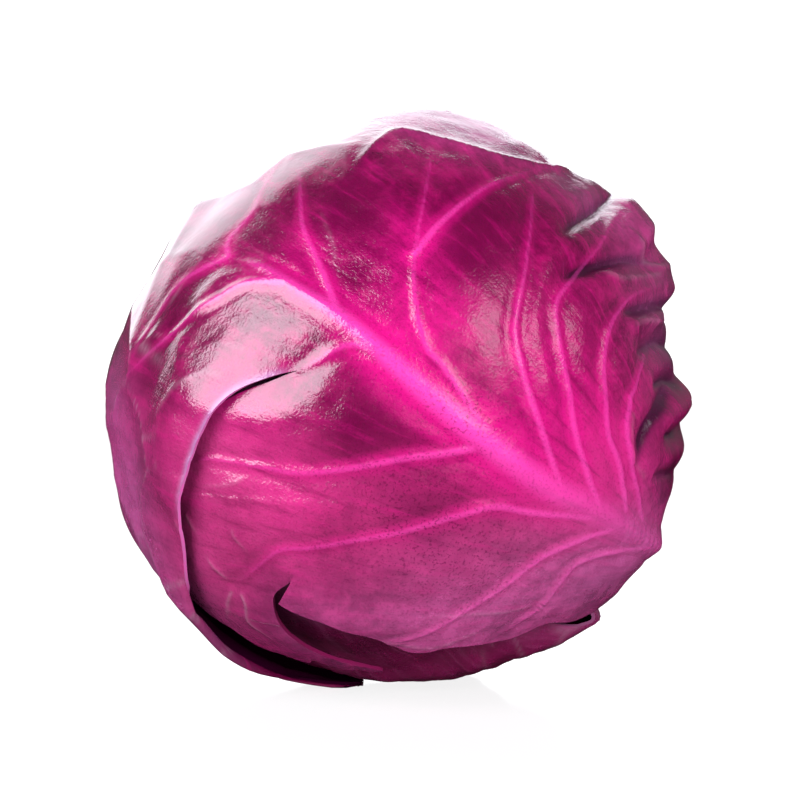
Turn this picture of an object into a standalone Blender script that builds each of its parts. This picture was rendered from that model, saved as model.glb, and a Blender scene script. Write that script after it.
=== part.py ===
"""A red cabbage head lying on its side: a cut stalk, the dense heart, and four wrapper leaves.

Every leaf is a thin closed sheet laid over the ball. A place on a leaf is given in degrees of arc from
the leaf's middle, and the surface there is a distance from the middle of the head, so that neighbouring
leaves stay one layer apart. The front leaf has two tears, whose sides lap over each other.
"""

import math

import bmesh
import bpy
import numpy as np
from mathutils import Vector
from mathutils.geometry import delaunay_2d_cdt

MM = 0.001

# Driving sizes, in millimetres
HEAD_RADIUS = 84.5
HEAD_HEIGHT = 83.5  # of the head's middle over the surface, so that the underside is pressed flat
LEAF_THICKNESS = 1.2
LAYER_STEP = 2.9  # from one wrapper leaf to the next below it
FOOT_BULGES = (((114, -76), 5.5, 17), ((81, -92), 2.4, 9))  # of the lowest leaf, down to the surface and behind the lip
FLOOR_STEP = 1.8  # the same where the head's weight presses the leaves flat
HEART_RADIUS = 73.2
HEART_LAP = 1.6  # step where one inner leaf laps over the next
STALK_RADIUS = 13.5
STALK_FOOT = 62.0  # from the head's middle to the stalk's inner end
STALK_END = 84.2  # and to its cut face
STALK_CLEARANCE = 2.2  # between the stalk and the leaves' bases

# Directions: the front leaf's middle faces FRONT, and the stalk points right, down and a little back
FRONT_LIFT = 6.0
STALK_FROM_FRONT = 98.0
STALK_TURN = -28.0

# Layers from the outside in, with each leaf's turn about the stalk, in degrees
LAYERS = {"leaf_front": 0, "leaf_top_back": 1, "leaf_low_back": 2, "leaf_under": 3}
LEAF_TURN = {"leaf_top_back": 132.0, "leaf_low_back": 216.0, "leaf_under": -62.0}
LEAF_RISE = {"leaf_top_back": 0.85, "leaf_low_back": 0.85, "leaf_under": 0.6}  # where nothing lies over them
LEAF_MIDDLE = 82.0  # from the stalk to the middle of those leaves

FLAP_COVER = 0.65  # share of the way down to which the flap, which stands off, holds what it covers

# Steps between the points of the meshes, in degrees of arc
FRONT_STEP = 6.0
LEAF_STEP = 8.4
FINE_STEP = 4.2  # at the ruffled edge, and at the lower edges


def smooth(low, high, x):
    t = np.clip((np.asarray(x, float) - low) / (high - low), 0.0, 1.0)
    return t * t * (3.0 - 2.0 * t)


def unit(v):
    v = np.asarray(v, float)
    return v / np.linalg.norm(v, axis=-1, keepdims=True)


def eased(x, keys):
    """A smooth curve through (x, y) keys, flat at its highest and lowest ones."""
    xs, ys = np.array(keys, float).T
    gaps = np.diff(xs)
    slopes = np.diff(ys) / gaps
    same_way = slopes[:-1] * slopes[1:] > 0
    inner = np.where(same_way, 2 * slopes[:-1] * slopes[1:] / np.where(same_way, slopes[:-1] + slopes[1:], 1), 0)
    tangents = np.concatenate([slopes[:1], inner, slopes[-1:]])
    x = np.clip(np.asarray(x, float), xs[0], xs[-1])
    i = np.clip(np.searchsorted(xs, x, side="right") - 1, 0, len(gaps) - 1)
    t = (x - xs[i]) / gaps[i]
    return (
        (2 * t**3 - 3 * t**2 + 1) * ys[i]
        + (t**3 - 2 * t**2 + t) * gaps[i] * tangents[i]
        + (3 * t**2 - 2 * t**3) * ys[i + 1]
        + (t**3 - t**2) * gaps[i] * tangents[i + 1]
    )


def spline(points, count):
    """A smooth line through the points, as count places along it."""
    points = np.array(points, float)
    ends = np.concatenate([[2 * points[0] - points[1]], points, [2 * points[-1] - points[-2]]])
    s = np.linspace(0, len(points) - 1 - 1e-9, count)
    i, t = s.astype(int), (s % 1)[:, None]
    a, b, c, d = ends[i], ends[i + 1], ends[i + 2], ends[i + 3]
    return 0.5 * (2 * b + (c - a) * t + (2 * a - 5 * b + 4 * c - d) * t**2 + (3 * b - a - 3 * c + d) * t**3)


# ---------------------------------------------------------------- directions on the head

LIFT = math.radians(FRONT_LIFT)
FRONT = np.array([0.0, -math.cos(LIFT), math.sin(LIFT)])
RIGHT = np.array([1.0, 0.0, 0.0])
UPWARD = np.array([0.0, math.sin(LIFT), math.cos(LIFT)])
MIDDLE = np.array([-1.5, 1.6, HEAD_HEIGHT])  # so that the origin is under the middle of the whole head


def polar_direction(out, turn, axes):
    """The direction that lies out degrees from axes[0], turned from axes[1] towards axes[2]."""
    out, turn = np.radians(out), np.radians(turn)
    middle, side, up = (axis[None, :] for axis in axes)
    out, turn = np.atleast_1d(out)[:, None], np.atleast_1d(turn)[:, None]
    return np.cos(out) * middle + np.sin(out) * (np.cos(turn) * side + np.sin(turn) * up)


def polar_place(n, axes):
    """(out, turn) in degrees of the direction n, the other way round from polar_direction."""
    middle, side, up = axes
    out = np.degrees(np.arccos(np.clip(n @ middle, -1, 1)))
    return out, np.degrees(np.arctan2(n @ up, n @ side))


FRONT_AXES = (FRONT, RIGHT, UPWARD)
STALK = polar_direction(STALK_FROM_FRONT, STALK_TURN, FRONT_AXES)[0]
STALK_SIDE = unit(FRONT - (FRONT @ STALK) * STALK)
STALK_AXES = (STALK, STALK_SIDE, np.cross(STALK_SIDE, STALK))


def leaf_axes(name):
    """The middle of a leaf, the way to its base at the stalk, and the way across it."""
    if name == "leaf_front":
        return FRONT_AXES
    middle = polar_direction(LEAF_MIDDLE, LEAF_TURN[name], STALK_AXES)[0]
    to_base = unit(STALK - (STALK @ middle) * middle)
    return middle, to_base, np.cross(middle, to_base)


def head_form(n):
    """Lumps and hollows of the whole head, in millimetres: (out, turn) seen from the front, height, spread."""
    lumps = (
        ((92, -30), 2.6, 24),
        ((88, 205), 0.8, 30),
        ((92, 134), -4.6, 30),
        ((92, 108), -2.8, 16),
        ((88, 84), 2.2, 12),
        ((90, 42), 3.6, 14),
        ((96, -96), 2.0, 18),
        ((118, -76), 2.0, 24),
        ((150, 60), -3.0, 40),
        ((140, 180), -2.0, 40),
    )
    total = np.zeros(len(n))
    for (out, turn), height, spread in lumps:
        away = np.degrees(np.arccos(np.clip(n @ polar_direction(out, turn, FRONT_AXES)[0], -1, 1)))
        total += height * np.exp(-((away / spread) ** 2))
    return total


def inner_form(n):
    """The same for what lies under the front leaf, which also gives way under its ruffled right edge."""
    out, turn = polar_place(n, FRONT_AXES)
    fold = smooth(44, 80, out) * smooth(112, 100, out) * smooth(-30, -14, turn) * smooth(66, 50, turn)
    return head_form(n) - 3.4 * fold


# ---------------------------------------------------------------- the front leaf's tears

TEAR_START = 20.0  # the long tear, out from the leaf's middle
HOOK_START = 44.0  # the short tear below it
HOOK_TURN = -120.0
HOOK_ANGLE = 282.0  # where the short tear lies in the flat leaf
HOOK_END = 50.0
TEAR_LINE = (
    (20, 162), (26, 170), (32, 177), (39.5, 190), (46, 200), (53.5, 211), (62, 220), (69, 228), (77, 236), (81, 243),
    (85, 255), (89, 266),
)


def tear_turn(out):
    """The turn of the long tear's upper side, which is the edge of the flap that hangs over the left."""
    return eased(out, TEAR_LINE)


def tear_lap(out):
    """How far the lower side of the long tear runs on under the flap: first an open slit, then a lap."""
    return eased(out, ((20, 0), (25, -1.6), (31, -0.5), (45, 10), (60, 13), (100, 13)))


def hook_lap_turn(out):
    """The lower side of the short tear, which swings in under the leaf's lower edge."""
    return eased(out, ((HOOK_START, HOOK_TURN), (50, HOOK_TURN - 2), (56, -119), (63, -109), (66, -95), (70, -82)))


def front_turn(out, angle):
    """The turn, seen from the front, of a place at this angle in the flat front leaf."""
    first = tear_turn(out) + (HOOK_TURN - tear_turn(out)) * angle / HOOK_ANGLE
    under = tear_turn(out) - 360 - tear_lap(out)
    share = (angle - HOOK_ANGLE) / (360 - HOOK_ANGLE)
    second = hook_lap_turn(out) + (under - hook_lap_turn(out)) * share
    return np.where(angle <= HOOK_ANGLE, first, second)


def upper_angle(out, turn):
    """The angle in the flat leaf, up to HOOK_ANGLE, of a place seen from the front."""
    return HOOK_ANGLE * (tear_turn(out) - turn) / (tear_turn(out) - HOOK_TURN)


def lower_angle(out, turn):
    """The same for the part between the two tears, from HOOK_ANGLE on."""
    under = tear_turn(out) - 360 - tear_lap(out)
    share = (turn - hook_lap_turn(out)) / (under - hook_lap_turn(out))
    return HOOK_ANGLE + (360 - HOOK_ANGLE) * share


FRONT_EDGE = (
    (0, 91.5), (12, 103), (25, 110), (47, 114), (82, 110), (117, 100), (141, 93), (157, 93), (188, 94), (210, 88), (221, 90),
    (226, 82), (229, 70), (237, 65), (242, 60.5), (249, 56.6), (254, 55.8), (262, 53), (270, 51), (282, HOOK_END),
)
LOWER_FLAP_EDGE = ((282, 66), (297, 67.5), (317, 70.4), (333, 72.2), (360, 77))


def front_reach(angle):
    """How far out the front leaf's edge lies."""
    wave = 1.1 * np.sin(np.radians(angle * 9)) + 0.6 * np.sin(np.radians(angle * 23 + 40))
    first = eased(angle, FRONT_EDGE) + wave * smooth(282, 262, angle)
    return np.where(angle <= HOOK_ANGLE, first, eased(angle, LOWER_FLAP_EDGE) + 0.7 * wave)


# ---------------------------------------------------------------- ribs

# The front leaf's ribs, as places across and up in degrees of arc from its middle, from root to tip
FRONT_MIDRIB = ((82, -45), (48, -26), (17, -7), (-3, 10), (-20, 23), (-38, 33))
FRONT_RIBS = (
    ((17, -7), (8, 7), (4, 20), (4, 32), (8, 48), (9, 62)),
    ((4, 30), (12, 39), (24, 50), (40, 62)),
    ((33, -17), (27, 1), (24, 14), (27, 28), (32, 52)),
    ((43, -22), (37, -5), (34, 14), (41, 29), (52, 42)),
    ((52, -27), (46, -7), (45, 9), (52, 21), (66, 30)),
    ((61, -32), (52, -9), (55, 4), (64, 14)),
    ((-10, 16), (-15, 27), (-20, 38), (-24, 60)),
    ((-37, 32), (-36, 42), (-32, 56), (-30, 74)),
    ((-38, 33), (-50, 30), (-60, 19), (-70, 6)),
    ((-22, 24), (-32, 25), (-46, 18), (-62, 8), (-78, 0)),
    ((-3, 10), (-9, 11), (-15, 8), (-19, 6)),
    ((15, -9), (3, -11), (-9, -13), (-24, -14), (-44, -13), (-58, -18)),
    ((40, -25), (24, -22), (2, -25), (-18, -29), (-30, -36), (-38, -44)),
    ((50, -31), (33, -33), (14, -45), (-6, -54)),
    ((62, -37), (47, -37), (32, -49), (22, -58)),
)
LEAF_MIDRIB = ((76, 0), (40, 1), (5, 0), (-30, -2), (-58, 0))
LEAF_RIB_ROOTS = (52, 34, 16, -4, -24)
MIDRIB_SIZE = ((7.0, 2.0), (3.4, 0.9))  # half width at root and tip, and height at root and tip
RIB_SIZE = ((2.6, 1.4), (1.3, 0.4))


def leaf_ribs(name):
    """Midrib and side ribs of a leaf, each with its size from root to tip."""
    if name == "leaf_front":
        return [(FRONT_MIDRIB, MIDRIB_SIZE)] + [(rib, RIB_SIZE) for rib in FRONT_RIBS]
    ribs = [(LEAF_MIDRIB, MIDRIB_SIZE)]
    for root in LEAF_RIB_ROOTS:
        for side in (-1, 1):
            length = 52 if root > 0 else 40
            sweep = ((0, 0), (-10, 0.33), (-24, 0.7), (-40, 1.0))
            ribs.append((tuple((root + back, side * length * share) for back, share in sweep), RIB_SIZE))
    return ribs


def rib_height(across, up, ribs, most):
    """Height of the ribs at places of a leaf, in millimetres."""
    total = np.zeros(len(across))
    per_degree = math.radians(1) * HEAD_RADIUS
    for route, (widths, heights) in ribs:
        line = spline(route, 12 * len(route))
        share = np.linspace(0, 1, len(line))
        away = np.hypot(across[:, None] - line[:, 0], up[:, None] - line[:, 1])
        nearest = away.argmin(axis=1)
        d = away[np.arange(len(away)), nearest] * per_degree
        s = share[nearest]
        width = widths[0] + (widths[1] - widths[0]) * s
        height = heights[0] + (heights[1] - heights[0]) * s
        total = np.maximum(total, height * np.exp(-((d / width) ** 2)) * smooth(1.0, 0.92, s))
    return np.minimum(total, most)


# ---------------------------------------------------------------- surfaces of the leaves


def waves(turn, crests):
    """A ruffle with its crests at these turns, 1 on a crest and -1 in a furrow."""
    crests = np.array(crests, float)
    place = np.interp(turn, crests, np.arange(len(crests)))
    return np.cos(2 * np.pi * place)


def front_surface(out, turn, angle):
    """Distance of the front leaf's outer face from the head's middle."""
    n = polar_direction(out, turn, FRONT_AXES)
    r = HEAD_RADIUS + head_form(n)
    across, up = out * np.cos(np.radians(turn)), out * np.sin(np.radians(turn))
    r = r + rib_height(across, up, leaf_ribs("leaf_front"), 3.4)
    # the ruffled right edge, in folds that run out to it
    right = smooth(-34, 2, turn) * smooth(64, 46, turn)
    r = r + 4.0 * smooth(46, 84, out) * right * waves(turn, (-30, -13, 1, 25, 40, 60))
    # smaller waves along the top and the far left
    rest = smooth(50, 75, turn) * smooth(262, 235, turn)
    r = r + 1.6 * smooth(70, 100, out) * rest * (1 + np.sin(np.radians(turn * 11)))
    # the flap over the left stands off, most along the tear
    first = angle <= HOOK_ANGLE
    from_tear = tear_turn(out) - turn
    stand = eased(out, ((19, 0), (28, 2.6), (42, 4.6), (62, 5.4), (80, 6.2), (100, 4.6)))
    width = eased(out, ((40, 50), (64, 38), (84, 12)))
    r = r + np.where(first, stand * np.cos(np.radians(90 * np.clip(from_tear / width, 0, 1))) ** 2, 0)
    # the leaf's lower edge stands off the lower flap, and the flap lies close
    lower = smooth(-62, -88, turn) * smooth(41, 49, out)
    r = r + np.where(first & (turn < 0), 3.1 * lower, 0)
    return r - np.where(first, 0, 0.5 * smooth(41, 48, out))


def leaf_reach(name, turn):
    """How far out the edge of one of the other leaves lies, from its own middle."""
    seed = LEAF_TURN[name]
    round_form = 88 - 4 * np.cos(np.radians(2 * turn)) + 2 * np.cos(np.radians(turn))
    wave = 2.2 * np.sin(np.radians(3 * turn + seed)) + 1.2 * np.sin(np.radians(8 * turn + 2 * seed))
    notch = 5.0 * np.exp(-(((np.abs(turn) - 180) / 14) ** 2))
    return round_form + wave - notch


def front_cover(turn):
    """How far out the front leaf lies close on the head, and how far out its flap reaches over the lower left."""
    above = eased(upper_angle(np.full(len(turn), 88.0), turn), FRONT_EDGE)
    close = np.where(turn > -78, above, 70 + 30 * smooth(-120, -150, turn))
    flap = np.where(turn > 150, 108, 108 * smooth(-76, -86, turn))
    return close + 1.5, flap


def covers(n, name):
    """For each leaf that lies outside this one, 1 where it covers this one and 0 well beyond its edge."""
    shares = []
    for other, layer in LAYERS.items():
        if name in LAYERS and layer >= LAYERS[name]:
            continue
        out, turn = polar_place(n, leaf_axes(other))
        if other == "leaf_front":
            close, flap = front_cover(turn)
            flap = (1 - smooth(5, 18, out - flap)) * FLAP_COVER
            shares.append(np.maximum(1 - smooth(4, 14, out - close), flap))
        else:
            shares.append(1 - smooth(5, 18, out - leaf_reach(other, turn)))
    return np.array(shares)


def exposure(n, name):
    """1 where nothing lies over this leaf, and 0 under the leaves outside it."""
    return np.prod(1 - covers(n, name), axis=0)


def floor_level(n, name):
    """How high the underside is pressed flat: one leaf's thickness and a gap for each leaf below it."""
    return FLOOR_STEP * np.minimum(covers(n, name) / FLAP_COVER, 1).sum(axis=0)


def leaf_surface(name, out, turn):
    """Distance of one of the other leaves' outer faces from the head's middle."""
    axes = leaf_axes(name)
    n = polar_direction(out, turn, axes)
    free = exposure(n, name)
    sunk = LAYERS[name] * LAYER_STEP
    r = HEAD_RADIUS + inner_form(n) - sunk + free * LEAF_RISE[name] * sunk
    across, up = out * np.cos(np.radians(turn)), out * np.sin(np.radians(turn))
    r = r + rib_height(across, up, leaf_ribs(name), 1.2) * (1 + 1.2 * free)
    if name == "leaf_low_back":
        for (foot_out, foot_turn), bulge, spread in FOOT_BULGES:
            foot = polar_direction(foot_out, foot_turn, FRONT_AXES)[0]
            away = np.degrees(np.arccos(np.clip(n @ foot, -1, 1)))
            r = r + bulge * np.exp(-((away / spread) ** 2))
    edge = smooth(-20, 0, out - leaf_reach(name, turn))
    ruffle = 1 + np.sin(np.radians(9 * turn + LEAF_TURN[name]))
    return r + free * edge * (0.8 + 1.5 * ruffle)


def on_floor(points, level):
    """The points, with those that reach below the level drawn back along their line to the head's middle."""
    lines = points - MIDDLE
    reach = (MIDDLE[2] - level) / np.maximum(-lines[:, 2], 1e-9)
    return MIDDLE + lines * np.minimum(reach, 1.0)[:, None]


def two_faces(n, r, level):
    """Places on the outer and on the inner face of a leaf whose outer face is this far from the head's middle."""
    outer = on_floor(MIDDLE + n * r[:, None], level)
    inner = on_floor(MIDDLE + n * (r - LEAF_THICKNESS)[:, None], level + LEAF_THICKNESS)
    return outer, inner


# ---------------------------------------------------------------- meshes


def ring_points(step, furthest):
    """Evenly spread places (out, angle) over the ball, ring by ring."""
    places = [(0.0, 0.0)]
    for ring, out in enumerate(np.arange(step, furthest, step)):
        count = max(6, round(360 * math.sin(math.radians(min(out, 100))) / step))
        for k in range(count):
            places.append((out, 360 * (k + 0.5 * (ring % 2)) / count))
    return np.array(places)


def spread_points(step, furthest, axes):
    """Evenly spread places over a leaf, closer together at the ruffled edge and at the lower edges."""
    kept = []
    for spacing, is_fine in ((FINE_STEP, True), (step, False)):
        places = ring_points(spacing, furthest)
        out, turn = polar_place(polar_direction(places[:, 0], places[:, 1], axes), FRONT_AXES)
        fine = (out > 52) & (out < 100) & (((turn > -24) & (turn < 60)) | ((turn > -128) & (turn < -60)))
        kept.append(places[fine == is_fine])
    return np.concatenate(kept)


def flat(places):
    out, angle = np.asarray(places, float).T
    return np.stack([out * np.cos(np.radians(angle)), out * np.sin(np.radians(angle))], axis=1)


def clear_of(points, fixed, gap):
    away = np.hypot(points[:, None, 0] - fixed[None, :, 0], points[:, None, 1] - fixed[None, :, 1])
    return points[away.min(axis=1) > gap]


def rib_places(ribs, spacing):
    """Points along each rib's crest and along its two feet, in degrees across and up."""
    per_degree = math.radians(1) * HEAD_RADIUS
    places = []
    for route, (widths, _) in ribs:
        line = spline(route, 60)
        length = np.hypot(*np.diff(line, axis=0).T).sum()
        picks = np.linspace(2, 57, max(3, round(length / spacing))).astype(int)
        ahead = line[picks + 2] - line[picks - 2]
        side = np.stack([-ahead[:, 1], ahead[:, 0]], axis=1) / np.hypot(*ahead.T)[:, None]
        share = picks[:, None] / 59
        foot = 1.5 * (widths[0] + (widths[1] - widths[0]) * share) / per_degree
        places += [line[picks], line[picks] + side * foot, line[picks] - side * foot]
    return np.concatenate(places)


def in_flat_front(places):
    """Places seen from the front, moved to where they lie in the flat front leaf: twice, where it laps itself."""
    out = np.hypot(*places.T)
    kept = []
    for full_turn in (-360, 0, 360):
        turn = np.degrees(np.arctan2(places[:, 1], places[:, 0])) + full_turn
        upper, lower = upper_angle(out, turn), lower_angle(out, turn)
        is_upper = (upper >= 0) & (upper < HOOK_ANGLE)
        is_lower = (lower >= HOOK_ANGLE) & (lower <= 360)
        kept.append(np.stack([out, upper], axis=1)[is_upper])
        kept.append(np.stack([out, lower], axis=1)[is_lower])
    return flat(np.concatenate(kept))


def triangulated(points, edges, outline):
    verts, _, faces, *_ = delaunay_2d_cdt([Vector(p) for p in points], edges, [outline], 1, 1e-4)
    corners = np.array([tuple(v) for v in verts])
    return corners, [tuple(f) for f in faces if area(corners[list(f)]) > 0.05]


def area(triangle):
    a, b, c = triangle
    return abs((b[0] - a[0]) * (c[1] - a[1]) - (b[1] - a[1]) * (c[0] - a[0])) / 2


def stalk_limit(out, n_of_out, layer_radius):
    """The furthest of these places from a leaf's middle that stays clear of the stalk."""
    clear = math.degrees(math.asin((STALK_RADIUS + STALK_CLEARANCE) / layer_radius))
    near = np.degrees(np.arccos(np.clip(n_of_out(out) @ STALK, -1, 1))) < clear
    return out[np.argmax(near)] if near.any() else out[-1]


def sheet_solid(name, corners, faces, outer, inner, colour):
    """A closed leaf from its triangles, and where its corners lie on the outer and on the inner face."""
    bm = bmesh.new()
    tops = [bm.verts.new(Vector(p * MM)) for p in outer]
    lows = [bm.verts.new(Vector(p * MM)) for p in inner]
    outward = np.cross(outer[faces[0][1]] - outer[faces[0][0]], outer[faces[0][2]] - outer[faces[0][0]])
    if outward @ (outer[faces[0][0]] - MIDDLE) < 0:
        faces = [tuple(reversed(f)) for f in faces]
    sides = {}
    for f in faces:
        bm.faces.new([tops[i] for i in f])
        bm.faces.new([lows[i] for i in reversed(f)])
        for a, b in zip(f, f[1:] + f[:1]):
            sides[(a, b)] = True
    for a, b in sides:
        if (b, a) not in sides:
            bm.faces.new([tops[a], lows[a], tops[b]])
            bm.faces.new([tops[b], lows[a], lows[b]])
    for v in [v for v in bm.verts if not v.link_faces]:
        bm.verts.remove(v)
    return finish_object(name, bm, colour)


def finish_object(name, bm, colour):
    mesh = bpy.data.meshes.new(name)
    bm.to_mesh(mesh)
    bm.free()
    mesh.shade_smooth()
    mesh.set_sharp_from_angle(angle=math.radians(50))
    mesh.materials.append(leaf_material(name, colour))
    obj = bpy.data.objects.new(name, mesh)
    bpy.context.scene.collection.objects.link(obj)
    return obj


def leaf_material(name, colour):
    material = bpy.data.materials.new(name)
    material.use_nodes = True
    shader = material.node_tree.nodes["Principled BSDF"]
    shader.inputs["Base Color"].default_value = (*colour, 1)
    shader.inputs["Roughness"].default_value = 0.38
    shader.inputs["Metallic"].default_value = 0.0
    return material


def front_leaf(colour):
    """The front leaf: points in the flat leaf, triangles between them, its tears opened, and then laid on the head."""
    name = "leaf_front"
    outs = np.arange(30.0, 116.0, 0.25)
    edge = []
    angles = np.concatenate([np.arange(0, HOOK_ANGLE, 3.6), [HOOK_ANGLE]])
    for angle in angles:
        limit = stalk_limit(outs, lambda o: polar_direction(o, front_turn(o, np.full(len(o), angle)), FRONT_AXES), HEAD_RADIUS)
        edge.append((min(float(front_reach(np.array(angle))), limit), angle))
    lower = np.linspace(HOOK_ANGLE + 1e-3, 360 - 1e-3, 16)
    lower_edge = [(float(front_reach(np.array(a))), a) for a in lower]
    # the tears' own points, from their inner end to the edge
    hook = [(o, HOOK_ANGLE) for o in (HOOK_START, 47)]
    tear = [(o, 0.0) for o in (TEAR_START, 24, 28, 33, 38, 43, 48, 54, 60, 66, 72)]
    beyond_hook = [(o, HOOK_ANGLE) for o in (55, 61)]
    beyond_tear = [(o, 0.0) for o in (80.5, 84, 87.5)]
    outline = edge + beyond_hook + [(lower_edge[0][0], HOOK_ANGLE)] + lower_edge[1:-1]
    outline += [(lower_edge[-1][0], 0.0)] + beyond_tear
    inner_lines = [hook, tear]
    outline_points = flat(outline)
    ends = {"hook": angles.size - 1, "tear": len(outline) - 1 - len(beyond_tear)}
    points, edges = list(outline_points), []
    for line, end in zip(inner_lines, (ends["hook"], ends["tear"])):
        start = len(points)
        points += list(flat(line))
        chain = list(range(start, len(points))) + [end]
        edges += list(zip(chain, chain[1:]))
    fixed = np.array(points)
    ribs = in_flat_front(rib_places(leaf_ribs(name), 7.5))
    ribs = thinned(clear_of(inside(ribs, outline_points, 1.2), fixed, 2.0), 1.7)
    lip = [(o, HOOK_ANGLE * d / (tear_turn(o) - HOOK_TURN)) for o in (62, 69, 76, 83, 89, 94, 100) for d in (6, 13, 21)]
    lip = clear_of(inside(flat(lip), outline_points, 1.2), ribs, 1.5)
    known = np.concatenate([fixed, ribs, lip])
    spread = in_flat_front(flat(spread_points(FRONT_STEP, 116, FRONT_AXES)))
    spread = clear_of(inside(spread, outline_points, 0.35 * FRONT_STEP), known, 0.42 * FRONT_STEP)
    corners, faces = triangulated(np.concatenate([known, spread]), edges, list(range(len(outline))))
    corners, faces, angle = opened(corners, faces)
    out = np.hypot(*corners.T)
    turn = front_turn(out, angle)
    r = front_surface(out, turn, angle)
    outer, inner = two_faces(polar_direction(out, turn, FRONT_AXES), r, 0.0)
    return sheet_solid(name, corners, faces, outer, inner, colour)


def opened(corners, faces):
    """The flat front leaf cut along its tears: each side gets corners of its own, and every corner its angle."""
    angle = np.degrees(np.arctan2(corners[:, 1], corners[:, 0])) % 360
    angle = np.where(angle > 359.99, 0.0, angle)
    angle = np.where(abs(angle - HOOK_ANGLE) < 0.01, HOOK_ANGLE, angle)
    out = np.hypot(*corners.T)
    copies, corners, angle = {}, list(corners), list(angle)
    hook_line = [abs(a - HOOK_ANGLE) < 0.01 and o > HOOK_START - 0.01 for a, o in zip(angle, out)]
    tear_line = [a < 0.01 and o > TEAR_START - 0.01 for a, o in zip(angle, out)]
    starts = [abs(o - TEAR_START) < 0.01 or abs(o - HOOK_START) < 0.01 for o in out]
    new_faces = []
    for f in faces:
        centre = sum(corners[i] for i in f) / 3
        place = math.degrees(math.atan2(centre[1], centre[0])) % 360
        new = []
        for i in f:
            far_side = (tear_line[i] and place > 180) or (hook_line[i] and place > HOOK_ANGLE)
            if far_side and not starts[i]:
                if i not in copies:
                    copies[i] = len(corners)
                    corners.append(corners[i])
                    angle.append(360.0 if tear_line[i] else HOOK_ANGLE + 1e-6)
                i = copies[i]
            new.append(i)
        new_faces.append(tuple(new))
    return np.array(corners), new_faces, np.array(angle)


def inside(points, outline, margin):
    """The points that lie in the outline, at least margin from it."""
    x, y = points.T
    ax, ay = outline.T
    bx, by = np.roll(outline, -1, axis=0).T
    crosses = (ay[None] > y[:, None]) != (by[None] > y[:, None])
    at = (bx - ax)[None] * (y[:, None] - ay[None]) / np.where(by == ay, 1e-9, by - ay)[None] + ax[None]
    is_in = (crosses & (x[:, None] < at)).sum(axis=1) % 2 == 1
    along = np.stack([bx - ax, by - ay], axis=1)
    t = ((points[:, None] - outline[None]) * along[None]).sum(-1) / np.maximum((along**2).sum(-1), 1e-9)[None]
    foot = outline[None] + np.clip(t, 0, 1)[..., None] * along[None]
    away = np.hypot(*(points[:, None] - foot).transpose(2, 0, 1)).min(axis=1)
    return points[is_in & (away > margin)]


def thinned(points, gap):
    """The points, leaving out each that lies within gap of one before it."""
    kept = []
    for p in points:
        if all(math.hypot(p[0] - q[0], p[1] - q[1]) > gap for q in kept):
            kept.append(p)
    return np.array(kept)


def wrapper_leaf(name, colour):
    """One of the other leaves, laid on the head under those outside it."""
    axes = leaf_axes(name)
    radius = HEAD_RADIUS - LAYERS[name] * LAYER_STEP
    outs = np.arange(30.0, 110.0, 0.25)
    edge = []
    for turn in np.arange(-180, 180, 5.0):
        limit = stalk_limit(outs, lambda o: polar_direction(o, np.full(len(o), turn), axes), radius)
        edge.append((min(float(leaf_reach(name, np.array([turn]))[0]), limit), turn))
    outline = flat(edge)
    ribs = thinned(inside(rib_places(leaf_ribs(name), 12), outline, 2.0), 3.0)
    spread = inside(flat(spread_points(LEAF_STEP, 110, axes)), outline, 0.35 * LEAF_STEP)
    known = np.concatenate([outline, ribs])
    points = np.concatenate([known, clear_of(spread, known, 0.4 * LEAF_STEP)])
    corners, faces = triangulated(points, [], list(range(len(outline))))
    out = np.hypot(*corners.T)
    turn = np.degrees(np.arctan2(corners[:, 1], corners[:, 0]))
    r = leaf_surface(name, out, turn)
    n = polar_direction(out, turn, axes)
    outer, inner = two_faces(n, r, floor_level(n, name))
    return sheet_solid(name, corners, faces, outer, inner, colour)


def heart(colour):
    """The dense heart: inner leaves that have grown tight on each other, lapped in a spiral round the stalk."""
    bm = bmesh.new()
    bmesh.ops.create_icosphere(bm, subdivisions=4, radius=1.0)
    n = unit(np.array([v.co[:] for v in bm.verts]))
    out, turn = polar_place(n, STALK_AXES)
    lap = (3 * (turn + 0.5 * out) / 360) % 1.0
    r = HEART_RADIUS + inner_form(n) - HEART_LAP * lap * np.sin(np.radians(out))
    for v, p in zip(bm.verts, on_floor(MIDDLE + n * r[:, None], floor_level(n, "heart"))):
        v.co = Vector(p * MM)
    obj = finish_object("heart", bm, colour)
    socket = turned("stalk_socket", ((0, STALK_FOOT - 0.4), (STALK_RADIUS + 0.8, STALK_FOOT - 0.4),
                                     (STALK_RADIUS + 0.8, 95), (0, 95)), colour)
    socket.hide_render = True
    socket.display_type = "WIRE"
    cut = obj.modifiers.new("socket", "BOOLEAN")
    cut.operation = "DIFFERENCE"
    cut.object = socket
    return obj


def turned(name, profile, colour):
    """A solid turned about the stalk's line from its (radius, height) profile."""
    sides = 24
    bm = bmesh.new()
    rings = []
    for radius, height in profile:
        places = [(radius * math.cos(2 * math.pi * k / sides), radius * math.sin(2 * math.pi * k / sides))
                  for k in range(sides if radius else 1)]
        rings.append([bm.verts.new(Vector((MIDDLE + height * STALK + x * STALK_AXES[1] + y * STALK_AXES[2]) * MM))
                      for x, y in places])
    for low, high in zip(rings, rings[1:]):
        for k in range(sides):
            corners = {low[k % len(low)], low[(k + 1) % len(low)], high[k % len(high)], high[(k + 1) % len(high)]}
            ordered = [v for v in (low[k % len(low)], low[(k + 1) % len(low)], high[(k + 1) % len(high)], high[k % len(high)])]
            ordered = [v for i, v in enumerate(ordered) if v not in ordered[:i]]
            if len(corners) > 2:
                bm.faces.new(ordered)
    bmesh.ops.recalc_face_normals(bm, faces=bm.faces[:])
    return finish_object(name, bm, colour)


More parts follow.
